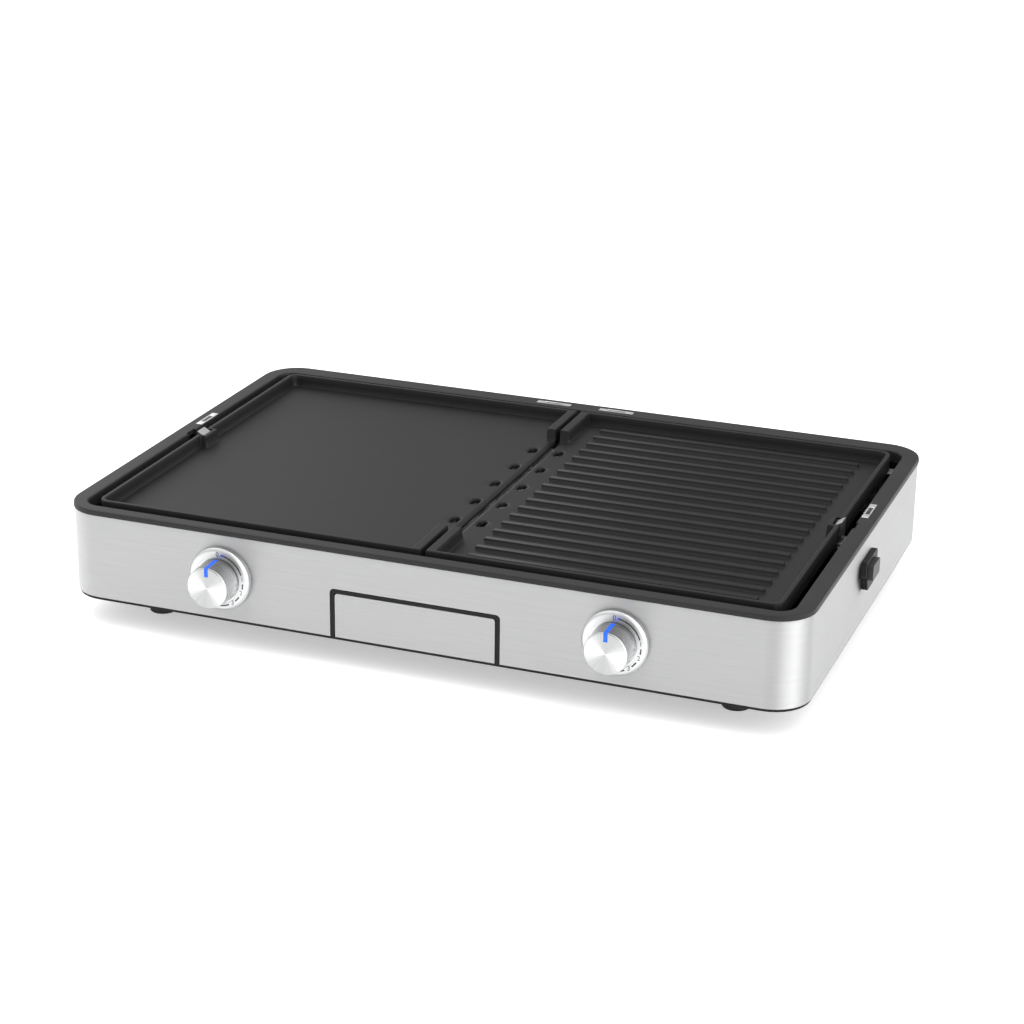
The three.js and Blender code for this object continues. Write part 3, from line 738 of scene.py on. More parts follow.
def turned(name, profile, sides, axis="Z"):
    """A solid of revolution about Z, from (radius, height) pairs that start and end on the axis."""
    shape = bmesh.new()
    rings = []
    for radius, height in profile:
        if radius < 1e-9:
            rings.append([shape.verts.new((0, 0, height))])
            continue
        rings.append(
            [
                shape.verts.new(
                    (
                        radius * math.cos(2 * math.pi * i / sides),
                        radius * math.sin(2 * math.pi * i / sides),
                        height,
                    )
                )
                for i in range(sides)
            ]
        )
    for lower, upper in zip(rings, rings[1:]):
        for i in range(sides):
            j = (i + 1) % sides
            loop = [
                lower[i % len(lower)],
                lower[j % len(lower)],
                upper[j % len(upper)],
                upper[i % len(upper)],
            ]
            shape.faces.new(list(dict.fromkeys(loop)))
    bmesh.ops.recalc_face_normals(shape, faces=shape.faces)
    mesh = finished(name, shape)
    if axis == "-Y":
        mesh.transform(Matrix.Rotation(math.radians(90), 4, "X"))
    return add_object(name, mesh)


def box_mesh(name, low, high):
    shape = bmesh.new()
    bmesh.ops.create_cube(shape, size=1)
    low, high = Vector(low), Vector(high)
    for vertex in shape.verts:
        vertex.co = Vector(
            low[i] + (vertex.co[i] + 0.5) * (high[i] - low[i]) for i in range(3)
        )
    return add_object(name, finished(name, shape))


def cut_away(piece, *cutters):
    for cutter in cutters:
        cut = piece.modifiers.new("Cut", "BOOLEAN")
        cut.operation = "DIFFERENCE"
        cut.solver = "EXACT"
        cut.object = cutter
    baked(piece)
    for cutter in cutters:
        mesh = cutter.data
        bpy.data.objects.remove(cutter)
        bpy.data.meshes.remove(mesh)
    return piece


# ------------------------------------------------------------------ repeated pieces


class Layout:
    """A Geometry Nodes tree in the making, with named inputs."""

    def __init__(self, name):
        self.tree = bpy.data.node_groups.new(name, "GeometryNodeTree")
        for way in ("INPUT", "OUTPUT"):
            self.tree.interface.new_socket(
                "Geometry", in_out=way, socket_type="NodeSocketGeometry"
            )
        self.entry = self.tree.nodes.new("NodeGroupInput")
        self.exit = self.tree.nodes.new("NodeGroupOutput")
        self.values = {}

    def input(self, name, kind, value):
        """A named input of the tree, and the value that the modifier will give it."""
        made = self.tree.interface.new_socket(name, in_out="INPUT", socket_type=f"NodeSocket{kind}")
        self.values[made.identifier] = value
        return self.entry.outputs[name]

    def node(self, kind, settings=None, inputs=None, output=0):
        made = self.tree.nodes.new(kind)
        for name, value in (settings or {}).items():
            setattr(made, name, value)
        for key, value in (inputs or {}).items():
            if isinstance(value, bpy.types.NodeSocket):
                self.tree.links.new(value, made.inputs[key])
            else:
                made.inputs[key].default_value = value
        return made.outputs[output]

    def repeat(self, piece, points, material):
        """Repeats the piece's mesh at the points. The result is the piece's own plain mesh."""
        inputs = {"Points": points, "Instance": self.entry.outputs["Geometry"]}
        rows = self.node("GeometryNodeInstanceOnPoints", None, inputs)
        whole = self.node("GeometryNodeRealizeInstances", None, {"Geometry": rows})
        coated = self.node(
            "GeometryNodeSetMaterial",
            None,
            {"Geometry": whole, "Material": self.input("Material", "Material", material)},
        )
        self.tree.links.new(coated, self.exit.inputs["Geometry"])
        modifier = piece.modifiers.new(self.tree.name, "NODES")
        modifier.node_group = self.tree
        for identifier, value in self.values.items():
            modifier[identifier] = value
        return baked(piece)


def in_a_row(piece, count, first, step, material):
    """Repeats the piece from the point first, each a step further."""
    layout = Layout(f"{piece.name}_row")
    points = layout.node(
        "GeometryNodeMeshLine",
        {"mode": "OFFSET"},
        {
            "Count": layout.input("Count", "Int", count),
            "Start Location": layout.input("First", "Vector", tuple(first)),
            "Offset": layout.input("Step", "Vector", tuple(step)),
        },
    )
    return layout.repeat(piece, points, material)


def at_corners(piece, low, high, material):
    """Repeats the piece at the four corners of a level rectangle."""
    layout = Layout(f"{piece.name}_corners")
    grid = layout.node(
        "GeometryNodeMeshGrid",
        None,
        {
            "Size X": layout.input("Width", "Float", high[0] - low[0]),
            "Size Y": layout.input("Depth", "Float", high[1] - low[1]),
            "Vertices X": 2,
            "Vertices Y": 2,
        },
    )
    middle = ((low[0] + high[0]) / 2, (low[1] + high[1]) / 2, low[2])
    points = layout.node(
        "GeometryNodeTransform",
        None,
        {"Geometry": grid, "Translation": layout.input("Middle", "Vector", middle)},
    )
    return layout.repeat(piece, points, material)


# ------------------------------------------------------------------ plates

# The raised boss round the latch pocket, and the fall of the dish round a drain slot.
BOSS_MARGIN = 1.6 * MM
BOSS_DEPTH = 2.2 * MM
DISH_DEPTH = 0.9 * MM


def wall_face(drop, flat, crest, foot, angle):
    """(distance, fall) across a wall: level top, rounded crest, sloped face, rounded foot."""
    turns = np.linspace(0, angle, 5)
    straight = (drop - (crest + foot) * (1 - math.cos(angle))) / math.sin(angle)
    top = [(flat + crest * math.sin(a), crest * (1 - math.cos(a))) for a in turns]
    d, z = top[-1]
    d, z = d + straight * math.cos(angle), z + straight * math.sin(angle)
    bottom = [
        (d + foot * (math.sin(angle) - math.sin(a)), z + foot * (math.cos(a) - math.cos(angle)))
        for a in turns[::-1]
    ]
    return np.array([(0.0, 0.0), *top, *bottom])


def inside_distance(u, v, low, high, corner=0.0):
    """Distance inwards from a rectangle's outline, negative outside; its corners have a radius."""
    qu = np.abs(u - (low[0] + high[0]) / 2) - (high[0] - low[0]) / 2 + corner
    qv = np.abs(v - (low[1] + high[1]) / 2) - (high[1] - low[1]) / 2 + corner
    outside = np.hypot(np.maximum(qu, 0), np.maximum(qv, 0))
    return corner - outside - np.minimum(np.maximum(qu, qv), 0)


class PlateForm:
    """The upper surface of a plate. u runs outwards from the plates' gap, v to the back."""

    def __init__(self, node, hook, settings):
        self.settings = s = settings
        low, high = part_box(node)
        self.side = 1 if low.x > 0 else -1
        self.width = high.x - low.x
        self.gap = min(abs(low.x), abs(high.x))
        self.front, self.back = low.y, high.y
        self.under, self.top = low.z, high.z
        self.middle = (self.front + self.back) / 2
        hook_low, hook_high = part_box(hook)
        self.latch = (hook_low.y + hook_high.y) / 2
        base_low, base_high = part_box("base_pan")
        self.drains = [(base_low.y + base_high.y) / 2 + i * s.drain_pitch for i in range(-2, 3)]
        self.wall = wall_face(s.depth, s.wall_top, s.crest, s.fillet, s.draught)
        self.cheek = wall_face(s.depth, 0, s.crest, s.fillet, s.draught)

    def height(self, u, v):
        s = self.settings
        floor = self.top - s.depth
        walls = inside_distance(u, v, (-self.width, self.front), (self.width, self.back), s.corner)
        fall = np.interp(walls, *self.wall.T)
        cheek_half = (self.back - self.front) / 2 - s.cheek_length + s.crest
        from_cheek = np.hypot(
            np.maximum(u - s.cheek_top, 0), np.maximum(cheek_half - np.abs(v - self.middle), 0)
        )
        fall = np.minimum(fall, np.interp(from_cheek, *self.cheek.T))
        half = s.pocket_width / 2 + BOSS_MARGIN
        from_boss = np.hypot(
            np.maximum(self.width - s.pocket_depth - BOSS_DEPTH - u, 0),
            np.maximum(np.abs(v - self.latch) - half, 0),
        )
        fall = np.minimum(fall, np.interp(from_boss, *self.cheek.T))
        z = self.top - fall
        lip = np.clip(s.lip_radius - u, 0, s.lip_radius)
        rolled = s.lip_radius - np.sqrt(np.maximum(s.lip_radius**2 - lip**2, 0))
        z = np.where(z <= floor + 1e-6, floor - rolled, z)
        for y in self.drains:
            past = self.past_drain(u, v, y)
            dish = DISH_DEPTH * np.clip(1 - past / s.drain_dish, 0, 1) ** 2
            z = np.where(past < s.drain_dish, z - dish, z)
        edge = inside_distance(u, v, (0, self.front), (self.width, self.back), 0)
        corner_edge = np.minimum(edge, walls)
        inset = np.clip(s.crest - corner_edge, 0, s.crest)
        rounding = s.crest - np.sqrt(np.maximum(s.crest**2 - inset**2, 0))
        return np.minimum(z, self.top - rounding)

    def past_drain(self, u, v, y):
        """Distance from a drain slot's edge, negative inside it."""
        s = self.settings
        half = s.drain_width / 2
        straight = np.maximum(np.abs(v - y) - (s.drain_length / 2 - half), 0)
        return np.hypot(u - s.drain_from_gap, straight) - half

    def lines(self):
        """Grid lines, close together where the surface turns."""
        s = self.settings
        face = np.array([d for d, _ in self.wall])
        crest = s.crest * (1 - np.cos(np.linspace(0, math.pi / 2, 5)))
        across = np.unique(np.concatenate([crest, face, [face[-1] + 1 * MM]]))
        cheek = self.cheek[:, 0]
        drain_u = np.linspace(-1, 1, 21) * (s.drain_width / 2 + s.drain_dish)
        drain_v = np.linspace(-1, 1, 31) * (s.drain_length / 2 + s.drain_dish)
        corner = np.linspace(0, s.corner + 1 * MM, 14)
        boss_u = self.width - s.pocket_depth - BOSS_DEPTH - cheek
        u = [
            s.lip_radius * (1 - np.cos(np.linspace(0, math.pi / 2, 8))),
            s.cheek_top + cheek,
            s.drain_from_gap + drain_u,
            np.linspace(20 * MM, self.width - 20 * MM, 22),
            self.width - across,
            self.width - corner,
            boss_u,
            crest,
        ]
        cheek_half = (self.back - self.front) / 2 - s.cheek_length + s.crest
        half = s.pocket_width / 2 + BOSS_MARGIN
        v = [
            self.front + across,
            self.back - across,
            self.front + corner,
            self.back - corner,
            self.middle + cheek_half - cheek,
            self.middle - cheek_half + cheek,
            self.latch + half + cheek,
            self.latch - half - cheek,
            np.linspace(self.front, self.back, 40),
            *[y + drain_v for y in self.drains],
        ]
        return [self.thinned(np.concatenate(parts)) for parts in (u, v)]

    @staticmethod
    def thinned(values):
        values = np.unique(values)
        kept = [values[0]]
        for value in values[1:]:
            if value - kept[-1] > 0.12 * MM:
                kept.append(value)
        kept[-1] = values[-1]
        return np.array(kept)

    def snap(self, u, v):
        """Moves points beyond the rounded outer corners on to them."""
        r = self.settings.corner
        for centre_v, sign in ((self.front + r, -1), (self.back - r, 1)):
            du = u - (self.width - r)
            dv = (v - centre_v) * sign
            distance = np.hypot(du, dv)
            beyond = (du > 0) & (dv > 0) & (distance > r)
            pull = np.where(beyond, r / np.maximum(distance, 1e-9), 1)
            u = np.where(beyond, self.width - r + du * pull, u)
            v = np.where(beyond, centre_v + sign * dv * pull, v)
        return u, v

    def build(self, name):
        u_lines, v_lines = self.lines()
        grid_u, grid_v = np.meshgrid(u_lines, v_lines, indexing="ij")
        u, v = self.snap(grid_u, grid_v)
        moved = (np.abs(u - grid_u) + np.abs(v - grid_v)) > 1e-9
        z = self.height(u, v)
        shape = bmesh.new()
        verts = [
            [shape.verts.new(point) for point in zip(self.side * (self.gap + us), vs, zs)]
            for us, vs, zs in zip(u, v, z)
        ]
        for i in range(u.shape[0] - 1):
            for j in range(u.shape[1] - 1):
                if moved[i : i + 2, j : j + 2].all():
                    continue
                near, far = verts[i], verts[i + 1]
                shape.faces.new((near[j], far[j], far[j + 1], near[j + 1]))
        bmesh.ops.delete(shape, geom=[x for x in shape.verts if not x.link_faces], context="VERTS")
        bmesh.ops.remove_doubles(shape, verts=shape.verts, dist=0.01 * MM)
        rim = [edge for edge in shape.edges if edge.is_boundary]
        skirt = bmesh.ops.extrude_edge_only(shape, edges=rim)["geom"]
        for item in skirt:
            if isinstance(item, bmesh.types.BMVert):
                item.co.z = self.under
        bmesh.ops.edgenet_fill(shape, edges=[edge for edge in shape.edges if edge.is_boundary])
        bmesh.ops.recalc_face_normals(shape, faces=shape.faces)
        piece = add_object(name, finished(name, shape))
        cut_away(piece, *self.cutters())
        return smooth(piece, 55)

    def cutters(self):
        s = self.settings
        below, above = self.under - 0.01, self.top + 0.01
        pocket_x = [self.side * (self.gap + self.width + d) for d in (-s.pocket_depth, 0.01)]
        half = s.pocket_width / 2
        low = (min(pocket_x), self.latch - half, below)
        high = (max(pocket_x), self.latch + half, above)
        drain_x = self.side * (self.gap + s.drain_from_gap)
        slots = [self.slot_cutter(drain_x, y, below, above) for y in self.drains]
        return [box_mesh("pocket", low, high), *slots]

    def slot_cutter(self, x, y, below, above):
        s = self.settings
        half, straight = s.drain_width / 2, (s.drain_length - s.drain_width) / 2
        shape = bmesh.new()
        turns = [math.pi * i / 10 for i in range(11)]
        outline = [(half * math.cos(t), straight + half * math.sin(t)) for t in turns]
        outline += [(-u, -v) for u, v in outline]
        face = shape.faces.new([shape.verts.new((x + u, y + v, below)) for u, v in outline])
        top = bmesh.ops.extrude_face_region(shape, geom=[face])["geom"]
        for item in top:
            if isinstance(item, bmesh.types.BMVert):
                item.co.z = above
        bmesh.ops.recalc_face_normals(shape, faces=shape.faces)
        return add_object("slot", finished("slot", shape))


def one_rib(name, length, settings):
    """A searing rib along X from the origin: a low bar with steep sides and softened edges."""
    crown, base, height = settings.rib_crown / 2, settings.rib_base / 2, settings.rib_height
    soft = 0.45 * MM
    foot = 0.5 * MM
    turns = np.linspace(0, math.pi / 2, 4)
    flank = [(base + foot, -0.6 * MM), (base + foot, 0), (base + foot * 0.25, foot * 0.3)]
    flank += [
        (crown - soft + soft * math.cos(t), height - soft + soft * math.sin(t)) for t in turns
    ]
    section = flank + [(-y, z) for y, z in flank[::-1]]
    shape = bmesh.new()
    rows = []
    for x, lift, pinch in (
        (-foot, 0, 0),
        (-foot * 0.25, 0.1, 0.1),
        (0.1 * MM, 0.86, 0.7),
        (soft, 1, 1),
        (length - soft, 1, 1),
        (length - 0.1 * MM, 0.86, 0.7),
        (length + foot * 0.25, 0.1, 0.1),
        (length + foot, 0, 0),
    ):
        narrow = 1 - (1 - pinch) * 0.09
        rows.append(
            [shape.verts.new((x, y * narrow, z if z < 0 else z * lift)) for y, z in section]
        )
    for first, second in zip(rows, rows[1:]):
        for j in range(len(section) - 1):
            shape.faces.new((first[j], second[j], second[j + 1], first[j + 1]))
    bmesh.ops.remove_doubles(shape, verts=shape.verts, dist=0.002 * MM)
    bmesh.ops.edgenet_fill(shape, edges=[edge for edge in shape.edges if edge.is_boundary])
    bmesh.ops.recalc_face_normals(shape, faces=shape.faces)
    return add_object(name, finished(name, shape))


# ------------------------------------------------------------------ operators


# Direction, from the front round to the right, and brightness of the studio's walls there.
STUDIO_WALLS = (
    (-180, 0.6),
    (-157, 0.32),
    (-141, 2.3),
    (-125, 1.6),
    (-90, 1.5),
    (-65, 0.95),
    (-20, 0.95),
    (9, 0.6),
    (28, 0.8),
    (48, 1.9),
    (79, 3.4),
    (100, 1.8),
    (115, 1.2),
    (130, 0.05),
    (143, 1.8),
    (153, 0.7),
    (180, 0.6),
)
WALL_RANGE = 4.0
FLOOR_RADIUS = 14
BACKDROP_RADIUS = 15


class MakeStage(bpy.types.Operator):
    """Camera, floor and soft light"""

    bl_idname = "griddle.make_stage"
    bl_label = "Stage"

    def execute(self, context):
        settings = context.scene.griddle_stage
        self.add_camera(context, settings)
        self.add_floor(settings)
        self.add_backdrop(settings)
        self.add_light(context, settings)
        return {"FINISHED"}

    def add_camera(self, context, settings):
        a, e, r = settings.azimuth, settings.elevation, settings.roll
        back = Vector((math.sin(a) * math.cos(e), -math.cos(a) * math.cos(e), math.sin(e)))
        level = Vector((math.cos(a), math.sin(a), 0))
        upward = back.cross(level)
        right = math.cos(r) * level + math.sin(r) * upward
        up = back.cross(right)
        place = Vector(settings.look_at) + back * settings.distance
        place += right * settings.aside[0] + up * settings.aside[1]
        camera = bpy.data.objects.new("camera", bpy.data.cameras.new("camera"))
        camera.data.lens = settings.lens
        camera.data.sensor_width = 36
        camera.data.clip_end = 50
        camera.matrix_world = Matrix((right, up, back)).transposed().to_4x4()
        camera.location = place
        context.scene.collection.objects.link(camera)
        context.scene.camera = camera

    def add_floor(self, settings):
        shape = bmesh.new()
        bmesh.ops.create_circle(shape, cap_ends=True, segments=96, radius=FLOOR_RADIUS)
        finish = Finish("floor", Roughness=0.9)
        finish.shader.inputs["Specular IOR Level"].default_value = 0.0
        finish.shader.inputs["Base Color"].default_value = (*settings.floor_colour, 1)
        finish.shader.inputs["Emission Color"].default_value = (*settings.floor_colour, 1)
        finish.shader.inputs["Emission Strength"].default_value = settings.floor_glow
        add_object("floor", finished("floor", shape), finish.material)

    def add_backdrop(self, settings):
        """A plain pale dome behind everything, which neither lights nor shades the object."""
        shape = bmesh.new()
        bmesh.ops.create_icosphere(shape, subdivisions=4, radius=BACKDROP_RADIUS)
        finish = Finish("backdrop", Roughness=1.0, Emission_Strength=1.2)
        finish.shader.inputs["Base Color"].default_value = (0, 0, 0, 1)
        finish.shader.inputs["Emission Color"].default_value = (*settings.floor_colour, 1)
        backdrop = add_object("backdrop", finished("backdrop", shape), finish.material)
        backdrop.visible_diffuse = backdrop.visible_glossy = False
        backdrop.visible_transmission = backdrop.visible_shadow = False

    def add_light(self, context, settings):
        context.scene.view_settings.view_transform = "Standard"
        self.add_surroundings(context, settings)
        self.softbox(context, "key_light", (-0.6, 0.4, 2.6), (0, 0, 0), (4.4, 4.4), settings.key)

    def add_surroundings(self, context, settings):
        """Light from the walls of a studio, stronger and weaker round the circle."""
        world = bpy.data.worlds.new("surroundings")
        world.use_nodes = True
        context.scene.world = world
        shading = Shading(world.node_tree)
        direction = shading.node("ShaderNodeTexCoord", output="Generated")
        aside, behind = shading.parts(direction, "XY")
        azimuth = aside.angle_from(-1.0 * behind)
        stops = [((degrees + 180) / 360, level / WALL_RANGE) for degrees, level in STUDIO_WALLS]
        walls = shading.node(
            "ShaderNodeValToRGB", {"stops": stops}, {"Fac": azimuth / (2 * math.pi) + 0.5}
        )
        background = world.node_tree.nodes["Background"]
        shading.feed(background.inputs["Color"], walls)
        background.inputs["Strength"].default_value = WALL_RANGE * settings.sky

    def softbox(self, context, name, place, target, size, watts):
        light = bpy.data.lights.new(name, "AREA")
        light.shape = "RECTANGLE"
        light.size, light.size_y = size
        light.energy = watts
        lamp = bpy.data.objects.new(name, light)
        lamp.location = place
        lamp.rotation_euler = (Vector(target) - Vector(place)).to_track_quat("-Z", "Y").to_euler()
        context.scene.collection.objects.link(lamp)


class MakeHousing(bpy.types.Operator):
    """Steel band, rim and base"""

    bl_idname = "griddle.make_housing"
    bl_label = "Housing"

    def execute(self, context):
        edges = context.scene.griddle_edges
        steel = surface("brushed_steel", brushed_steel)
        refine("front_panel", steel, "brushed_steel", edges.sheet)
        refine("rear_wrap_panel", steel, "brushed_steel", edges.sheet)
        refine("top_rim", surface("rim_enamel", rim_enamel), "rim_coat", 0.3 * MM)
        refine("base_pan", surface("moulded_black", moulded_black), "black_plastic", edges.moulded)
        return {"FINISHED"}


class MakePlates(bpy.types.Operator):
    """The flat plate, the ribbed plate and its ribs"""

    bl_idname = "griddle.make_plates"
    bl_label = "Plates"

    def execute(self, context):
        settings = context.scene.griddle_plates
        coat = surface("cast_coat", cast_coat)
        for node, hook in (("flat_plate", "latch_hook_left"), ("ribbed_plate", "latch_hook_right")):
            form = PlateForm(node, hook, settings)
            plate = form.build(f"{node}_casting")
            plate.data.materials.append(coat)
            settle(plate, "cast_plate", node)
        length = form.width - settings.rib_from_gap - settings.rib_from_side
        rib = one_rib("searing_ribs", length, settings)
        first = form.front + settings.rib_from_front
        last = form.back - settings.rib_from_back
        step = (last - first) / (settings.rib_count - 1)
        start = (form.gap + settings.rib_from_gap, first, form.top - settings.depth)
        in_a_row(rib, settings.rib_count, start, (0, step, 0), coat)
        smooth(rib, 55)
        settle(rib, "cast_plate", body=BODY_OF["ribbed_plate"])
        return {"FINISHED"}


class MakeKnobs(bpy.types.Operator):
    """Knobs with their lit pointers, and the dial rings with their printed scale"""

    bl_idname = "griddle.make_knobs"
    bl_label = "Knobs"

    def execute(self, context):
        settings = context.scene.griddle_knobs
        for word in SIDES:
            self.make_knob(word, settings)
            self.make_ring(word)
            self.print_scale(word, settings)
            zinc = surface("zinc_plating", zinc_plating)
            refine(f"knob_shaft_{word}", zinc, "zinc_steel", 0.3 * MM)
        return {"FINISHED"}

    def axis(self, word):
        low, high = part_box(f"knob_{word}")
        return Vector(((low.x + high.x) / 2, 0, (low.z + high.z) / 2)), low.y, high.y

    def make_knob(self, word, settings):
        centre, face, back = self.axis(word)
        low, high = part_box(f"knob_{word}")
        base = (high.x - low.x) / 2
        length = back - face
        face_radius = base - 0.8 * MM
        c = settings.chamfer
        profile = [
            (0, 0),
            (base - 0.3 * MM, 0),
            (base, 0.3 * MM),
            (base, 1.2 * MM),
            (base - 0.1 * MM, 1.5 * MM),
            (face_radius + 0.02 * MM, length - c - 0.1 * MM),
            (face_radius - 0.05 * MM, length - c + 0.05 * MM),
            (face_radius - c * 0.8, length - 0.1 * MM),
            (face_radius - c, length),
            (0, length),
        ]
        knob = turned(f"knob_{word}_turned", profile, 128, "-Y")
        knob.data.transform(Matrix.Translation((centre.x, back, centre.z)))
        pipe_low, pipe_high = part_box(f"knob_pointer_{word}")
        gap = 0.12 * MM
        inner = pipe_low.z
        depth = 1.7 * MM
        side_slot = box_mesh(
            "side_slot",
            (pipe_low.x - gap, pipe_low.y - 0.01, centre.z + face_radius - depth),
            (pipe_high.x + gap, pipe_high.y + gap, pipe_high.z + 0.01),
        )
        face_slot = box_mesh(
            "face_slot",
            (pipe_low.x - gap, pipe_low.y - 0.01, inner - gap),
            (pipe_high.x + gap, pipe_low.y + depth, pipe_high.z + 0.01),
        )
        cut_away(knob, side_slot, face_slot)
        # The knob's base colour holds a painted highlight and painted shade in sectors round its
        # axis.
        knob.data.materials.append(
            turned_aluminium(f"turned_knob_{word}", (centre.x, 0, centre.z), 0.55)
        )
        smooth(knob, 22)
        settle(knob, "spun_aluminium", f"knob_{word}")
        lit = surface("lit_pointer", lit_pointer, tuple(settings.light), settings.brightness)
        refine(f"knob_pointer_{word}", lit, "blue_light_pipe", 0.2 * MM)

    def make_ring(self, word):
        low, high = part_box(f"dial_ring_{word}")
        centre = (low + high) / 2
        outer = (high.x - low.x) / 2
        reach = high.y - low.y
        hole = 6 * MM
        profile = [
            (hole, 0),
            (outer - 0.2 * MM, 0),
            (outer, 0.2 * MM),
            (outer, reach - 2.3 * MM),
            (outer - 0.25 * MM, reach - 1.8 * MM),
            (outer - 1.7 * MM, reach - 0.25 * MM),
            (outer - 2.1 * MM, reach),
            (outer - 6.0 * MM, reach),
            (outer - 6.15 * MM, reach - 0.35 * MM),
            (hole, reach - 0.35 * MM),
            (hole, 0),
        ]
        ring = self.turned_ring(f"dial_ring_{word}_turned", profile, 144)
        ring.data.transform(Matrix.Translation((centre.x, high.y, centre.z)))
        # The ring's base colour holds a fainter painted highlight and painted shade in sectors
        # round its axis.
        ring.data.materials.append(
            turned_aluminium(
                f"turned_ring_{word}", (centre.x, 0, centre.z), 0.3, (0.70, 0.705, 0.71), 0.3, 0.24
            )
        )
        smooth(ring, 24)
        settle(ring, "spun_aluminium", f"dial_ring_{word}")

    def turned_ring(self, name, profile, sides):
        ring = turned(name, profile, sides, "-Y")
        solid = bmesh.new()
        solid.from_mesh(ring.data)
        bmesh.ops.remove_doubles(solid, verts=solid.verts, dist=0.001 * MM)
        bmesh.ops.recalc_face_normals(solid, faces=solid.faces)
        solid.to_mesh(ring.data)
        solid.free()
        return ring

    def print_scale(self, word, settings):
        low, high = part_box(f"dial_ring_{word}")
        centre = (low + high) / 2
        radius, half = settings.scale_radius, settings.line_width / 2
        ink = surface("dial_print", dial_print)
        shape = bmesh.new()
        for start, end in ((8, 72), (91, 103), (123, 137), (155, 186)):
            self.add_arc(shape, radius, half, start, end)
        scale = add_object(f"dial_scale_{word}", finished("scale", shape))
        marks = [scale]
        for figure, angle in (("0", 0.5), ("1", 80.5), ("2", 112.5), ("3", 145)):
            marks.append(self.figure(figure, math.radians(angle), radius, settings.figure_height))
        self.merge(marks)
        scale.data.transform(Matrix.Rotation(math.radians(90), 4, "X"))
        scale.data.transform(Matrix.Translation((centre.x, low.y - 0.02 * MM, centre.z)))
        thick = scale.modifiers.new("Ink", "SOLIDIFY")
        thick.thickness = 0.05 * MM
        thick.offset = 0
        baked(scale)
        scale.data.materials.clear()
        scale.data.materials.append(ink)
        settle(scale, "black_plastic", body=BODY_OF[f"dial_ring_{word}"])

    def add_arc(self, shape, radius, half, start, end):
        steps = max(3, round((end - start) / 3))
        pairs = []
        for i in range(steps + 1):
            angle = math.radians(start + (end - start) * i / steps)
            pairs.append(
                [
                    shape.verts.new((r * math.sin(angle), r * math.cos(angle), 0))
                    for r in (radius - half, radius + half)
                ]
            )
        for (a, b), (c, d) in zip(pairs, pairs[1:]):
            shape.faces.new((a, c, d, b))

    def figure(self, text, angle, radius, height):
        curve = bpy.data.curves.new("figure", "FONT")
        curve.body = text
        curve.align_x = "CENTER"
        curve.align_y = "CENTER"
        curve.size = height * 1.35
        letter = bpy.data.objects.new("figure", curve)
        bpy.context.scene.collection.objects.link(letter)
        depsgraph = bpy.context.evaluated_depsgraph_get()
        mesh = bpy.data.meshes.new_from_object(letter.evaluated_get(depsgraph))
        bpy.data.objects.remove(letter)
        mesh.transform(
            Matrix.Translation((radius * math.sin(angle), radius * math.cos(angle), 0))
        )
        return add_object(f"figure_{text}", mesh)

    def merge(self, pieces):
        whole = bmesh.new()
        for piece in pieces:
            whole.from_mesh(piece.data)
        for piece in pieces[1:]:
            bpy.data.objects.remove(piece)
        bmesh.ops.triangulate(whole, faces=whole.faces)
        bmesh.ops.recalc_face_normals(whole, faces=whole.faces)
        whole.to_mesh(pieces[0].data)
        whole.free()


class MakeDrawer(bpy.types.Operator):
    """Drip drawer, its trim and its rails"""

    bl_idname = "griddle.make_drawer"
    bl_label = "Drawer"

    def execute(self, context):
        edges = context.scene.griddle_edges
        black = surface("moulded_black", moulded_black)
        zinc = surface("zinc_plating", zinc_plating)
        steel = surface("brushed_steel", brushed_steel)
        refine("drawer_front", steel, "brushed_steel", edges.sheet)
        refine("drawer_tray", black, "black_plastic", edges.moulded)
        refine("drawer_trim", black, "black_plastic", 0.3 * MM)
        for word in SIDES:
            refine(f"drawer_rail_{word}", zinc, "zinc_steel", edges.sheet)
        return {"FINISHED"}


class MakeLatches(bpy.types.Operator):
    """Latch hooks, their brackets and axles, and the side buttons that work them"""

    bl_idname = "griddle.make_latches"
    bl_label = "Latches"

    def execute(self, context):
        edges = context.scene.griddle_edges
        bright = surface("bright_plating", bright_plating)
        zinc = surface("zinc_plating", zinc_plating)
        black = surface("moulded_black", moulded_black)
        # A paler, smoother copy of the moulded black for the release buttons.
        paler_black = surface("button_black", moulded_black, "button_black", 0.03, 0.05, 0.36)
        for word in SIDES:
            refine(f"latch_hook_{word}", bright, "bright_steel", edges.plated, 3)
            refine(f"latch_axle_{word}", zinc, "zinc_steel", 0.3 * MM)
            refine(f"latch_bracket_{word}", zinc, "zinc_steel", edges.sheet)
            spring = refine(f"button_spring_{word}", bright, "zinc_steel", 0)
            self.press(spring, word)
            refine(f"release_button_{word}", paler_black, "black_plastic", 0.8 * MM, 3)
            refine(f"button_bezel_{word}", black, "black_plastic", 0.7 * MM, 3)
        return {"FINISHED"}

    def press(self, spring, word):
        """Reads how far the button travels and gives the spring a mesh of its own; the spring keeps
        its shape.
        """
        low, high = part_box(f"button_spring_{word}")
        travel = next(j["range_m"][1] for j in JOINTS if j["name"] == f"{word}_button_press")
        length = high.x - low.x
        (length - travel) / length
        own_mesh(spring)


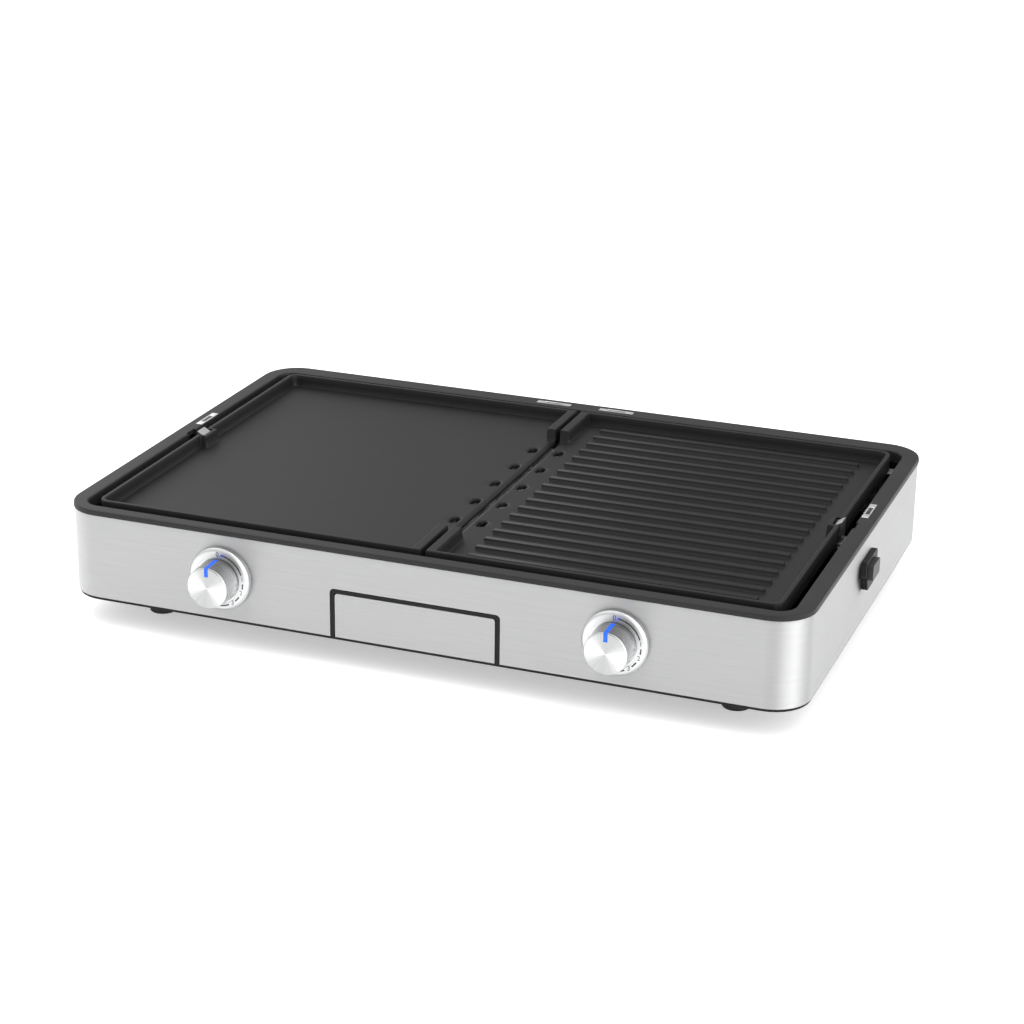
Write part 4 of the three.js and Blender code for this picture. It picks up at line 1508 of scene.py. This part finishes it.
class MakeSockets(bpy.types.Operator):
    """Bright sockets in the rim for a clip-on splash guard"""

    bl_idname = "griddle.make_sockets"
    bl_label = "Guard sockets"

    def execute(self, context):
        bright = surface("polished_plating", bright_plating, "polished_plating", 0.86, 0.97)
        pairs = (
            ("guard_socket_left", "guard_socket_right", "side_sockets"),
            ("guard_socket_rear_left", "guard_socket_rear_right", "rear_sockets"),
        )
        for first, second, name in pairs:
            start, end = [(low + high) / 2 for low, high in map(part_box, (first, second))]
            socket = copy_of(first, name)
            socket.data.transform(Matrix.Translation(-start))
            rounded(socket, 0.35 * MM, 2)
            in_a_row(socket, 2, start, end - start, bright)
            settle(socket, "bright_steel", first, second)
        return {"FINISHED"}


class MakeFeet(bpy.types.Operator):
    """Rubber feet and their screws"""

    bl_idname = "griddle.make_feet"
    bl_label = "Feet"

    def execute(self, context):
        self.repeat("foot", surface("foot_rubber", foot_rubber), "rubber", 0.8 * MM, 3)
        self.repeat("foot_screw", surface("zinc_plating", zinc_plating), "zinc_steel", 0.25 * MM, 2)
        return {"FINISHED"}

    def repeat(self, kind, material, material_slot, width, segments):
        nodes = [f"{kind}_{end}_{side}" for end in ("front", "rear") for side in SIDES]
        boxes = [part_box(node) for node in nodes]
        middles = [(low + high) / 2 for low, high in boxes]
        piece = copy_of(nodes[0], f"{kind}_set")
        start = middles[0].copy()
        piece.data.transform(Matrix.Translation((-start.x, -start.y, 0)))
        rounded(piece, width, segments)
        low = (start.x, start.y, 0)
        high = (middles[3].x, middles[3].y, 0)
        at_corners(piece, low, high, material)
        settle(piece, material_slot, *nodes)


class MakeHeating(bpy.types.Operator):
    """Heating elements, reflectors, plate supports and the grease chute"""

    bl_idname = "griddle.make_heating"
    bl_label = "Heating"

    def execute(self, context):
        edges = context.scene.griddle_edges
        zinc = surface("zinc_plating", zinc_plating)
        tube = surface("heated_tube", heated_tube)
        for word in SIDES:
            refine(f"heating_element_{word}", tube, "zinc_steel", 0)
            refine(f"heat_reflector_{word}", zinc, "zinc_steel", edges.sheet)
        for end in ("front", "rear"):
            refine(f"plate_support_{end}", zinc, "zinc_steel", edges.sheet)
        refine("grease_chute", zinc, "zinc_steel", edges.sheet)
        return {"FINISHED"}


class MakeWiring(bpy.types.Operator):
    """Thermostats, pointer lamps, terminal block and cord gland"""

    bl_idname = "griddle.make_wiring"
    bl_label = "Controls and mains entry"

    def execute(self, context):
        edges = context.scene.griddle_edges
        black = surface("moulded_black", moulded_black)
        pale = surface("pale_insulator", pale_insulator)
        for word in SIDES:
            refine(f"thermostat_{word}", black, "black_plastic", edges.moulded)
            refine(f"pointer_lamp_{word}", pale, "pale_insulator", edges.sheet)
        refine("terminal_block", pale, "pale_insulator", edges.moulded)
        refine("cord_gland", black, "black_plastic", edges.moulded, 3)
        return {"FINISHED"}


class GriddlePanel(bpy.types.Panel):
    bl_idname = "VIEW3D_PT_griddle"
    bl_label = "Griddle"
    bl_space_type = "VIEW_3D"
    bl_region_type = "UI"
    bl_category = "Griddle"

    def draw(self, context):
        for name in SETTINGS:
            settings = getattr(context.scene, name)
            box = self.layout.box()
            for key in settings.__annotations__:
                box.prop(settings, key)
        for operator in OPERATORS:
            self.layout.operator(operator.bl_idname)


SETTINGS = {
    "griddle_edges": EdgeSettings,
    "griddle_plates": PlateSettings,
    "griddle_knobs": KnobSettings,
    "griddle_stage": StageSettings,
}
OPERATORS = (
    MakeStage,
    MakeHousing,
    MakePlates,
    MakeKnobs,
    MakeDrawer,
    MakeLatches,
    MakeSockets,
    MakeFeet,
    MakeHeating,
    MakeWiring,
)


def register():
    for made in (*SETTINGS.values(), *OPERATORS, GriddlePanel):
        bpy.utils.register_class(made)
    for name, settings in SETTINGS.items():
        setattr(bpy.types.Scene, name, bpy.props.PointerProperty(type=settings))


def unregister():
    for name in SETTINGS:
        delattr(bpy.types.Scene, name)
    for made in (GriddlePanel, *reversed(OPERATORS), *SETTINGS.values()):
        bpy.utils.unregister_class(made)


def main():
    register()
    for operator in OPERATORS:
        getattr(bpy.ops.griddle, operator.bl_idname.split(".")[1])()


if __name__ == "__main__":
    main()
